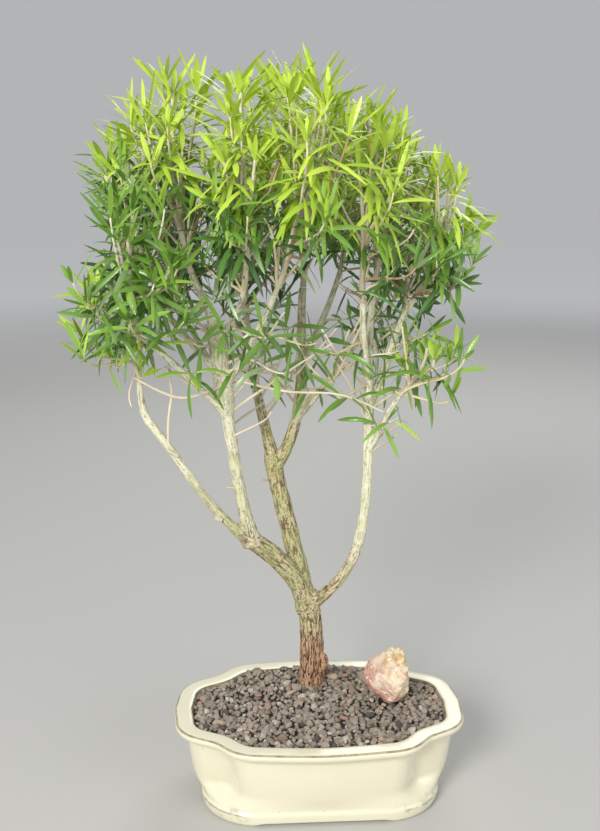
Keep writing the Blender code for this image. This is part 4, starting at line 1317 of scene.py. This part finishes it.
TIERS = (
    Tier(4, (-0.75, -0.25), (0.45, 0.82), (0.0, 0.25), 0.6, (34.0, 50.0), -0.5, 0.46),
    Tier(5, (-0.25, 0.25), (0.45, 0.85), (0.08, 0.45), 1.2, (38.0, 54.0), -0.2, 0.40),
    Tier(6, (0.22, 0.74), (0.12, 0.62), (0.04, 0.34), 3.4, (44.0, 60.0), 0.1, 0.30),
)


@dataclass
class LeafShape:
    """A narrow pointed leaf: folded on its midrib, arched over its length."""

    length: float
    width: float
    arch: float
    fold: float
    curl: float
    sag: float
    rows: tuple = ((0.0, 0.10), (0.14, 0.42), (0.34, 0.86), (0.56, 1.0), (0.78, 0.80), (0.92, 0.42))

    def spots(self, root: Vector, way: Vector, side: Vector) -> tuple[np.ndarray, np.ndarray]:
        """The leaf's corners and faces.

        Args:
            root: where the stalk leaves the shoot.
            way: heading at the root.
            side: across the blade.

        Returns:
            Corner positions, and faces as rows of corner numbers with -1 for a missing corner.
        """
        points = []
        spot = root.copy()
        heading = way.copy()
        last = 0.0
        turn = Matrix.Rotation(self.curl, 3, way)
        side = turn @ side
        for t, share in self.rows:
            step = (t - last) * self.length
            spin = Matrix.Rotation(self.arch * (t - last), 3, side)
            heading = (spin @ heading + Vector((0.0, 0.0, -self.sag * (t - last)))).normalized()
            spot = spot + heading * step
            last = t
            up = side.cross(heading).normalized()
            half = self.width / 2 * share
            lift = up * half * self.fold
            points += [spot - side * half + lift, spot, spot + side * half + lift]
        spin = Matrix.Rotation(self.arch * (1.0 - last), 3, side)
        points.append(spot + (spin @ heading) * (1.0 - last) * self.length)
        faces = []
        last_row = (len(self.rows) - 1) * 3
        for a in range(0, last_row, 3):
            faces += [(a, a + 1, a + 4, a + 3), (a + 1, a + 2, a + 5, a + 4)]
        a = last_row
        faces += [(a, a + 1, a + 3, -1), (a + 1, a + 2, a + 3, -1)]
        return np.array([tuple(p) for p in points]), np.array(faces)


# how far the crown reaches at each height: height, left and right
CROWN_SIDES = (
    (320, -150, 100), (350, -166, 116), (380, -190, 124), (415, -207, 118), (451, -204, 116),
    (466, -176, 122), (488, -166, 143), (510, -170, 128), (533, -184, 104), (554, -192, 80),
    (577, -168, 52), (600, -146, 36), (625, -124, 20),
)


class Room:
    """The space that leaf tips stay in: the crown's own outline, within the solid tree's box."""

    ease = 4.0
    beside_tip = 14.0
    above_tip = 8.0
    pull = 0.16

    def __init__(self, shop: Workshop) -> None:
        """Take the box from the frame, in millimetres about the pot."""
        low, high = CAD_BOX
        self.low = (Vector(low) - shop.shift) / MM - Vector((self.ease,) * 3)
        self.high = (Vector(high) - shop.shift) / MM + Vector((self.ease,) * 3)

    def holds(self, spot: Vector) -> bool:
        """Whether a spot lies inside the crown's outline."""
        if not all(self.low[i] < spot[i] < self.high[i] for i in range(3)):
            return False
        rows = CROWN_SIDES
        for (bottom, left, right), (top, next_left, next_right) in zip(rows, rows[1:]):
            if bottom <= spot.z < top:
                share = (spot.z - bottom) / (top - bottom)
                left += (next_left - left) * share
                right += (next_right - right) * share
                return left < spot.x < right
        return True

    def drawn_in(self, spot: Vector, centre: Vector) -> Vector:
        """A twig's tip, drawn towards its mass's centre until it lies well inside the crown's outline."""
        for _ in range(8):
            out = Vector((spot.x - centre.x, spot.y - centre.y, 0.0))
            if out.length < 1.0:
                break
            if self.holds(spot + out.normalized() * self.beside_tip + UP * self.above_tip):
                break
            spot = spot - out * self.pull
        return spot


class Mass:
    """One mass of foliage: its space, its shoots, their side twigs and the leaves on both."""

    leaf_room = 36.0
    usual_half = 46.0
    spread = (88.0, 24.0)
    reach = (36.0, 54.0)
    widths = (3.1, 4.7)
    leaf_gap = 3.9
    hanging_gap = 4.6
    tip_shortening = 0.28
    tip_stiffness = 0.75
    overlap = 0.15
    broad_leaves = 0.08
    bare_foot = 0.34
    twig_reach = 0.84
    light_from = 508.0
    light_slope = 0.18
    light_fade = 17.0
    shade_fade = 110.0
    tones = (Leaf.DARK, Leaf.DEEP, Leaf.GREY, Leaf.MIDDLE, Leaf.FRESH, Leaf.LIME, Leaf.SPRING)
    tone_steps = (-2.0, -1.25, -1.1, -0.45, 0.45, 1.5)

    def __init__(self, row: MassRow, limb: Curve, room: Room, seed: int) -> None:
        """Grow the shoots as the solid's own rule does, then the finer twigs."""
        self.room = room
        self.row = row
        self.limb = limb
        self.centre = Vector(row.centre)
        self.half = Vector(row.half)
        self.leaf_scale = min(1.0, min(row.half) / self.usual_half)
        self.rng = random.Random(seed)
        self.shoots = self.grow_shoots()
        self.fine = self.grow_twigs()
        self.leaves = Sheaf()
        self.twigs = Sheaf()
        self.leaf_count = 0

    def any_turn(self) -> float:
        """A random angle round a stem."""
        return self.rng.uniform(0.0, 6.28)

    def depth(self, spot: Vector) -> float:
        """How far out a spot lies in this mass's space: 0 in the middle, 1 on its surface."""
        off = spot - self.centre
        return Vector((off.x / self.half.x, off.y / self.half.y, off.z / self.half.z)).length

    def grow_shoots(self) -> list[Curve]:
        """A leading shoot from the limb's tip and side shoots that fork off it."""
        along = self.limb.heading(1.0)
        root = self.limb.tip + along * 0.3
        room = self.half - Vector((self.leaf_room,) * 3) * self.leaf_scale
        peak = self.centre + UP * room.z
        leader = Curve(root, along, peak, UP, (min(3.0, self.limb.radii[1]), 1.35))
        shoots = [leader]
        turn = self.any_turn()
        count = self.row.shoots
        for i in range(1, count):
            angle = turn + TURN * i / (count - 1) + self.rng.uniform(-0.3, 0.3)
            out = Vector((math.cos(angle) * room.x, math.sin(angle) * room.y, 0.0)) * 1.1
            rise = room.z * self.rng.uniform(-0.1, 0.75)
            top = self.room.drawn_in(self.centre + out + UP * rise, self.centre)
            fork = leader.point(0.08 + 0.36 * i / count)
            off = (top - fork).normalized() + leader.heading(0.3) * 0.5
            arrives = Vector((out.x * 0.01, out.y * 0.01, 1.0))
            shoots.append(Curve(fork, off, top, arrives, (2.2, 1.15)))
        return shoots

    def grow_twigs(self) -> list[tuple[Curve, Tier]]:
        """Finer twigs that fork off the leading shoot, storey by storey, and turn upward."""
        twigs = []
        leader = self.shoots[0]
        for tier in TIERS:
            count = max(1, round(tier.count * self.row.fullness))
            turn = self.any_turn()
            for i in range(count):
                angle = turn + GOLDEN * i
                out = self.rng.uniform(*tier.out)
                rise = self.rng.uniform(*tier.rise)
                way = Vector((math.cos(angle) * out, math.sin(angle) * out, rise))
                if way.length > self.twig_reach:
                    way *= self.twig_reach / way.length
                tip = self.centre + Vector([way[axis] * self.half[axis] for axis in range(3)])
                tip = self.room.drawn_in(tip, self.centre)
                stock = self.rng.choice(self.shoots) if tier.upright > 2 else leader
                start = stock.point(self.rng.uniform(*tier.fork))
                if start.z > tip.z - 12.0:
                    start = leader.point(0.02)
                off = (tip - start).normalized() + Vector((0.0, 0.0, 0.15))
                flat = Vector((way.x, way.y, 0.0))
                arrives = flat.normalized() * 0.45 + Vector((0.0, 0.0, tier.upright))
                twigs.append((Curve(start, off, tip, arrives, (1.25, 0.7)), tier))
        return twigs

    def tube(self, curve: Curve, tone: int, sides: int = 7, wobble: float = 0.9) -> None:
        """Lay one twig, a little crooked."""
        steps = max(4, round(curve.length / 5))
        corners = []
        for i in range(steps + 1):
            t = i / steps
            sway = noise.noise_vector(curve.point(t) * 0.07) * wobble * math.sin(math.pi * t)
            node = 1.0 + 0.16 * math.sin(t * curve.length * 0.9)
            corners += round_ring(curve.point(t) + sway, curve.heading(t), curve.radius(t) * node, sides)
        corners.append(tuple(curve.point(1.0) + curve.heading(1.0) * curve.radius(1.0)))
        self.twigs.add_tube(corners, sides, tone)

    def tone(self, spot: Vector, t: float, newness: float) -> int:
        """Which leaf tone a leaf takes, by its height and place on its shoot: painted light above a slanting
        line near the crown's top, painted shade below it, and newer growth toward the tips.
        """
        # painted light and shade: brighter above this slanting line, darker below it
        line = self.light_from - self.light_slope * (spot.x + 120.0)
        score = 1.65 * math.tanh((spot.z - line) / self.light_fade)
        score += (t - 0.5) * 0.8 + newness + self.rng.uniform(-0.5, 0.5)
        # painted shade, darkest just under the line and easing further down; some masses also get lighter
        # tones toward their shoot tips there
        if spot.z < line:
            score += self.row.fresh * t + 0.5 * min(1.0, (line - spot.z) / self.shade_fade)
        return number(self.tones[sum(score > step for step in self.tone_steps)])

    def low_spray(self, limb: Curve, row: SprayRow) -> None:
        """A leafy shoot on a bough below the mass, its leaves long and hanging a little."""
        start = limb.point(row.share)
        tip = Vector(row.tip)
        way = (tip - start).normalized()
        shoot = Curve(start, way + UP * 0.4, tip, way + UP * 0.5, (1.4, 0.6))
        self.tube(shoot, self.rng.choice((0, 1)), 6, 0.5)
        turn = self.any_turn()
        t = self.bare_foot
        while t < 1.0:
            self.leaf(shoot, t, turn, 0.2, (row.length * 0.75, row.length), [])
            turn += GOLDEN + self.rng.uniform(-0.3, 0.3)
            t += self.hanging_gap / shoot.length

    def leaf(
        self, curve: Curve, t: float, turn: float, newness: float, reach: tuple, masses: list[Mass]
    ) -> None:
        """Set one leaf, unless it would leave the mass's own room.

        Args:
            curve: the shoot that it grows on.
            t: where on the shoot.
            turn: its angle round the shoot.
            newness: how much newer its tone is than its height alone says.
            reach: the least and the greatest length.
            masses: every mass, or none if the leaf may hang below them.
        """
        along = curve.heading(t)
        root = curve.point(t)
        across = along.orthogonal().normalized()
        out = across * math.cos(turn) + along.cross(across) * math.sin(turn)
        spread = self.spread[0] + (self.spread[1] - self.spread[0]) * t ** 4 + self.rng.uniform(-16, 8)
        angle = math.radians(spread)
        length = self.rng.uniform(*reach) * (1.0 - self.tip_shortening * t ** 4) * self.leaf_scale
        side = along.cross(out).normalized()
        for _ in range(3):
            way = out * math.sin(angle) + along * math.cos(angle)
            tip = root + way * length
            deep = self.depth(tip)
            if (deep < 1.1 or not masses) and self.room.holds(tip):
                break
            length *= 0.86
            angle *= 0.8
        else:
            return
        if any(mass.depth(tip) < deep - self.overlap for mass in masses):
            return
        width = self.rng.uniform(*self.widths)
        if self.rng.random() < self.broad_leaves:
            width *= 1.4
            length *= 0.7
        softness = 1.0 - self.tip_stiffness * t ** 3
        arch = self.rng.uniform(0.15, 1.3) * softness
        sag = self.rng.uniform(0.1, 1.1) * softness
        fold = self.rng.uniform(0.12, 0.5)
        shape = LeafShape(length, width, arch, fold, self.rng.uniform(-0.6, 0.6), sag)
        spots, faces = shape.spots(root + way * 0.4, way, side)
        self.leaves.add(spots, faces, self.tone(root, t, newness))
        self.leaf_count += 1

    def dress(self, masses: list[Mass]) -> None:
        """Lay every twig and deal out its leaves."""
        for shoot in self.shoots:
            self.tube(shoot, number(Stem.SAND if self.rng.random() < 0.6 else Stem.GREY))
            self.spray(shoot, self.bare_foot, self.rng.uniform(-0.3, 0.25), self.reach, masses)
        for twig, tier in self.fine:
            self.tube(twig, self.rng.choice((0, 0, 1, 2)), 6, 0.6)
            newness = tier.newness + self.rng.uniform(-0.4, 0.4)
            self.spray(twig, tier.bare, newness, tier.reach, masses)

    def spray(
        self, curve: Curve, first: float, newness: float, reach: tuple, masses: list[Mass]
    ) -> None:
        """Leaves set in a rising spiral along one shoot, closer toward its tip."""
        turn = self.any_turn()
        t = first
        step = self.leaf_gap / curve.length / (0.4 + 0.6 * self.row.fullness)
        while t < 0.99:
            self.leaf(curve, t, turn, newness, reach, masses)
            turn += GOLDEN + self.rng.uniform(-0.25, 0.25)
            t += step * (1.3 - 0.7 * t)
        for _ in range(3):
            self.leaf(curve, 0.985, turn, newness + 0.2, (reach[0] * 0.6, reach[1] * 0.75), masses)
            turn += GOLDEN


@dataclass(frozen=True)
class SprayRow:
    """One leafy shoot that grows on a bough below its mass."""

    mass: str
    limb: str
    share: float
    tip: Triple
    length: float = 42.0


LOW_SPRAYS = (
    SprayRow("centre_front", "left_upright_bough", 0.80, (-56, -30, 378)),
    SprayRow("centre_front", "centre_front_branch", 0.35, (-40, -54, 402)),
    SprayRow("centre_front", "centre_front_branch", 0.60, (-76, -66, 408)),
    SprayRow("centre_top", "centre_top_branch", 0.35, (-30, -62, 376)),
    SprayRow("centre_top", "centre_top_branch", 0.62, (-8, -64, 398)),
    SprayRow("centre_top", "centre_top_branch", 0.70, (-46, -74, 404)),
    SprayRow("left_front", "left_front_branch", 0.45, (-104, -46, 376)),
    SprayRow("left_front", "left_upright_bough", 0.92, (-100, -40, 396)),
    SprayRow("left_top", "left_top_bough", 0.40, (-84, -46, 428)),
    SprayRow("middle_top", "middle_right_bough", 0.62, (10, 30, 376)),
    SprayRow("middle_top", "middle_right_bough", 0.45, (2, 22, 350), 34.0),
    SprayRow("middle_top", "middle_right_bough", 0.80, (-30, 20, 398)),
    SprayRow("middle_back", "middle_left_bough", 0.62, (-44, 54, 378)),
    SprayRow("middle_back", "middle_left_bough", 0.80, (-74, 92, 392)),
    SprayRow("right_front", "right_top_bough", 0.12, (12, -30, 350)),
    SprayRow("right_front", "right_front_branch", 0.45, (4, -46, 388)),
    SprayRow("right_low", "right_bough", 0.80, (60, -26, 332)),
    SprayRow("right_low", "right_bough", 0.90, (74, -22, 366)),
    SprayRow("right_top", "right_top_bough", 0.40, (62, -14, 384)),
    SprayRow("right_outer", "right_outer_branch", 0.50, (84, -22, 400)),
    SprayRow("back_right", "back_right_branch", 0.50, (34, 96, 398)),
    SprayRow("right_back", "right_back_branch", 0.45, (92, 50, 382)),
)


@dataclass
class Crown:
    """Every mass of foliage and the leafy shoots that hang on the boughs below them."""

    limbs: Limbs
    first_seed: int = 11
    new_leaves_from: float = 505.0

    def build(self, shop: Workshop) -> None:
        """Dress each mass and place its leaves and twigs as two pieces."""
        room = Room(shop)
        curves = self.limbs.curves
        masses = [
            Mass(row, curves[row.limb], room, seed) for seed, row in enumerate(MASSES, self.first_seed)
        ]
        greens = paints(Leaf, "leaf_", 0.38, 0.22, 0.5)
        woods = paints(Stem, "stem_", 0.8, 0.0, 0.3)
        named = {mass.row.name: mass for mass in masses}
        for row in LOW_SPRAYS:
            named[row.mass].low_spray(curves[row.limb], row)
        total = 0
        for name, mass in named.items():
            mass.dress(masses)
            total += mass.leaf_count
            nodes = ["foliage_" + name]
            slot = "new_leaves" if mass.centre.z > self.new_leaves_from else "old_leaves"
            leaves = "leaves_" + name
            shop.place(leaves, mass.leaves.mesh(leaves, True), greens, nodes, slot)
            twigs = "twigs_" + name
            shop.place(twigs, mass.twigs.mesh(twigs, True), woods, nodes, "pale_bark")
        LOG.info("leaves in all: %d", total)


@dataclass(frozen=True)
class TwigRow:
    """One bare twig as the spots it passes, from foot to tip."""

    spots: tuple[Triple, ...]
    radii: tuple[float, float]
    tone: Stem


BARE_TWIGS = (
    TwigRow(((-73, -3, 366), (-9, 50, 356)), (1.7, 1.2), Stem.SAND),
    TwigRow(((-70, 4, 320), (-44, 52, 330)), (1.6, 1.1), Stem.SAND),
    TwigRow(((-24, 52, 326), (-40, 48, 361)), (1.5, 1.0), Stem.GREY),
    TwigRow(((-69, 0, 353), (-33, 48, 364)), (1.5, 1.0), Stem.SAND),
    TwigRow(((-10, 54, 325), (12, 36, 348), (34, 4, 402)), (1.9, 1.1), Stem.SAND),
    TwigRow(((44, 2, 296), (64, -8, 315)), (1.5, 1.1), Stem.GREY),
    TwigRow(((-46, 56, 331), (-26, 40, 376)), (1.5, 1.0), Stem.SAND),
    TwigRow(((4, 44, 357), (25, 10, 398)), (1.5, 1.0), Stem.SAND),
    TwigRow(((-85, -2, 350), (-124, -10, 372)), (1.9, 1.2), Stem.SAND),
    TwigRow(((-78, -6, 357), (-112, -14, 348), (-150, -16, 366)), (1.7, 1.2), Stem.SAND),
    TwigRow(((-71, -7, 360), (-30, -22, 354), (14, -30, 352), (50, -24, 336)), (1.5, 0.9), Stem.SAND),
    TwigRow(((-70, -6, 331), (-24, -20, 371), (8, -24, 392)), (1.6, 0.9), Stem.SAND),
    TwigRow(((-69, -3, 309), (-46, -12, 328), (-40, -14, 336)), (1.3, 0.6), Stem.SAND),
    TwigRow(((-16, 54, 333), (-36, 34, 362), (-70, 6, 418)), (1.8, 1.0), Stem.SAND),
    TwigRow(((-14, 53, 326), (42, 20, 380), (66, 8, 402)), (2.1, 1.1), Stem.STRAW),
    TwigRow(((-40, 56, 322), (-6, 24, 372), (14, 4, 400)), (1.4, 0.8), Stem.SAND),
    TwigRow(((-50, 66, 350), (-70, 34, 372), (-92, 6, 404)), (1.6, 0.9), Stem.SAND),
    TwigRow(((-44, 58, 312), (-22, 40, 352), (-14, 26, 392)), (1.5, 0.8), Stem.GREY),
    TwigRow(((-2, 57, 384), (22, 36, 372), (38, 18, 352)), (1.3, 0.8), Stem.SAND),
    TwigRow(((-74, -7, 372), (-52, -22, 388), (-30, -34, 418)), (1.8, 1.1), Stem.SAND),
    TwigRow(((-88, -10, 396), (-100, -30, 408), (-122, -44, 440)), (1.8, 1.1), Stem.SAND),
    TwigRow(((40, -2, 320), (26, -14, 352), (6, -30, 384)), (1.5, 0.8), Stem.SAND),
    TwigRow(((-74, -5, 338), (-56, -10, 366), (-44, -22, 412)), (1.5, 0.9), Stem.SAND),
    TwigRow(((-122, -7, 306), (-122, -10, 330), (-119, -12, 352), (-122, -13, 373)), (1.5, 1.0), Stem.SAND),
    TwigRow(((-83, -8, 396), (-104, -12, 412), (-128, -18, 424), (-150, -24, 448)), (1.5, 0.9), Stem.SAND),
    TwigRow(((-76, -6, 372), (-94, -10, 386), (-112, -14, 398)), (1.1, 0.7), Stem.SAND),
    TwigRow(((40, -2, 300), (52, -6, 314), (64, -10, 323)), (1.3, 0.9), Stem.STRAW),
    TwigRow(((41, -2, 334), (-2, -14, 364), (-22, -18, 396)), (1.5, 0.8), Stem.SAND),
    TwigRow(((40, -3, 350), (20, -10, 372), (0, -16, 402)), (1.3, 0.8), Stem.SAND),
    TwigRow(((18, 36, 352), (28, 20, 392), (42, 10, 424)), (1.5, 0.9), Stem.SAND),
    TwigRow(((-146, -8, 372), (-152, -16, 352), (-150, -20, 342)), (1.0, 0.7), Stem.SAND),
)

# cut ends of old twigs: foot, way and radius
STUBS = (
    ((-137.0, -4.0, 323.5), (-4.2, 0.4, 2.6), 2.6), ((-83.5, 7.0, 240.0), (-3.6, 0.0, 1.6), 2.8),
    ((-119.0, -5.0, 300.0), (-5.0, 0.0, 3.0), 2.4), ((-73.0, 10.5, 266.0), (-4.6, -1.0, 0.8), 1.2),
    ((-41.0, 45.0, 262.0), (-5.0, -2.0, 1.2), 1.3),
)


@dataclass
class Tangle:
    """Bare twigs that cross between the boughs, and the cut stubs of old ones."""

    limbs: Limbs
    sides: int = 8

    def build(self, shop: Workshop) -> None:
        """Lay every bare twig, its foot at the nearest limb's axis, and every stub as one piece."""
        sheaf = Sheaf()
        tree, _ = self.limbs.axis_tree()
        for row in BARE_TWIGS:
            spots = [Vector(spot) for spot in row.spots]
            root, _, _ = tree.find(spots[0])
            self.lay(sheaf, [root] + spots[1:], row.radii, row.tone)
        for foot, way, radius in STUBS:
            start = Vector(foot) - Vector(way) * 0.7
            end = Vector(foot) + Vector(way)
            self.lay(sheaf, [start, end], (radius, radius * 0.86), Stem.GREY)
        woods = paints(Stem, "bare_", 0.85, 0.0, 0.3)
        nodes = ["left_upright_bough", "middle_right_bough", "right_bough"]
        shop.place("bare_twigs", sheaf.mesh("bare_twigs", True), woods, nodes, "pale_bark")

    def lay(self, sheaf: Sheaf, spots: list[Vector], radii: tuple[float, float], tone: Stem) -> None:
        """Lay one tapering twig through its spots, with a little crookedness."""
        path = self.smooth(spots)
        last = len(path) - 1
        corners = []
        for i, spot in enumerate(path):
            along = (path[min(i + 1, last)] - path[max(i - 1, 0)]).normalized()
            share = i / last
            size = radii[0] + (radii[1] - radii[0]) * share
            size *= 0.8 + 0.18 * noise.noise(spot * 0.35)
            sway = noise.noise_vector(spot * 0.09) * 0.4 * math.sin(math.pi * share)
            corners += round_ring(spot + sway, along, size, self.sides)
        corners.append(tuple(path[-1]))
        sheaf.add_tube(corners, self.sides, number(tone))

    def smooth(self, spots: list[Vector]) -> list[Vector]:
        """Points about 4 mm apart on a smooth line through the spots."""
        if len(spots) == 2:
            return [spots[0].lerp(spots[1], i / 6) for i in range(7)]
        path = []
        for i in range(len(spots) - 1):
            before = spots[max(i - 1, 0)]
            after = spots[min(i + 2, len(spots) - 1)]
            into = (spots[i + 1] - before) / 2
            out = (after - spots[i]) / 2
            steps = max(2, round((spots[i + 1] - spots[i]).length / 4))
            for k in range(steps):
                path.append(between(spots[i], into, spots[i + 1], out, k / steps))
        path.append(spots[-1])
        return path


# ---------------------------------------------------------------- studio

@dataclass
class Studio:
    """Pale floor, soft light and the camera."""

    shop: Workshop
    eye: Triple = (-66.64, -827.475, 510.0)
    gaze: Triple = (0.05965, 0.97522, -0.21304)
    lens: float = 45.05
    aim: Triple = (0.0, 0.0, 0.33)
    floor_tone: Colour = (0.52, 0.515, 0.50)
    horizon: tuple[float, float] = (1.8, 4.6)
    sky_tone: Colour = (0.86, 0.88, 0.90)
    sky_strength: float = 0.52
    lamps: tuple = (
        ("key_light", (-1.0, -1.9, 1.35), 0.8, 53.0, (1.0, 0.975, 0.93)),
        ("fill_light", (1.6, -1.4, 0.8), 1.5, 13.0, (0.98, 0.985, 1.0)),
        ("back_light", (0.7, 1.7, 1.7), 1.4, 18.0, (1.0, 1.0, 0.98)),
    )

    def lamp(self, name: str, spot: Triple, size: float, power: float, tone: Colour) -> None:
        """One square area light aimed at the tree, its spot and size in metres and its power in watts."""
        light = bpy.data.lights.new(name, "AREA")
        light.size = size
        light.energy = power
        light.color = tone
        lamp = linked(name, light)
        lamp.location = Vector(spot)
        lamp.rotation_euler = (Vector(self.aim) - lamp.location).to_track_quat("-Z", "Y").to_euler()

    def floor_finish(self) -> bpy.types.Material:
        """Pale floor that grows a little paler away from the tree."""
        paint = Paint("floor")
        away = paint.make("ShaderNodeVectorMath", {"operation": "LENGTH"}, {0: paint.place()}, "Value")
        far = paint.window(away, *self.horizon)
        paint.set("Base Color", paint.blend(far, self.floor_tone, (1.0, 1.0, 1.0)))
        paint.set("Roughness", 0.85)
        paint.set("Specular IOR Level", 0.1)
        return paint.material

    def build(self) -> None:
        """Set the floor, the lights, the world and the camera."""
        bm = bmesh.new()
        bmesh.ops.create_grid(bm, x_segments=1, y_segments=1, size=30.0)
        floor = linked("studio_floor", mesh_from(bm, "studio_floor"))
        floor.data.materials.append(self.floor_finish())
        for lamp in self.lamps:
            self.lamp(*lamp)
        scene = bpy.context.scene
        scene.world = bpy.data.worlds.new("studio")
        scene.world.use_nodes = True
        sky = scene.world.node_tree.nodes["Background"].inputs
        sky["Color"].default_value = (*self.sky_tone, 1.0)
        sky["Strength"].default_value = self.sky_strength
        camera = bpy.data.cameras.new("camera")
        camera.lens = self.lens
        camera.clip_start = 0.01
        scene.camera = linked("camera", camera)
        scene.camera.location = Vector(self.eye) * MM + self.shop.shift
        scene.camera.rotation_euler = Vector(self.gaze).to_track_quat("-Z", "Y").to_euler()
        scene.view_settings.view_transform = "Standard"


def main() -> None:
    """Build everything in order."""
    logging.basicConfig(level=logging.INFO, format="%(name)s %(message)s")
    noise.seed_set(NOISE_SEED)
    shop = Workshop()
    pot = Pot()
    rock = Rock()
    pot.build(shop)
    GritBed(pot).build(shop, rock)
    rock.build(shop)
    limbs = Limbs()
    limbs.plan()
    limbs.build(shop)
    Tangle(limbs).build(shop)
    Crown(limbs).build(shop)
    Studio(shop).build()


if __name__ == "__main__":
    main()
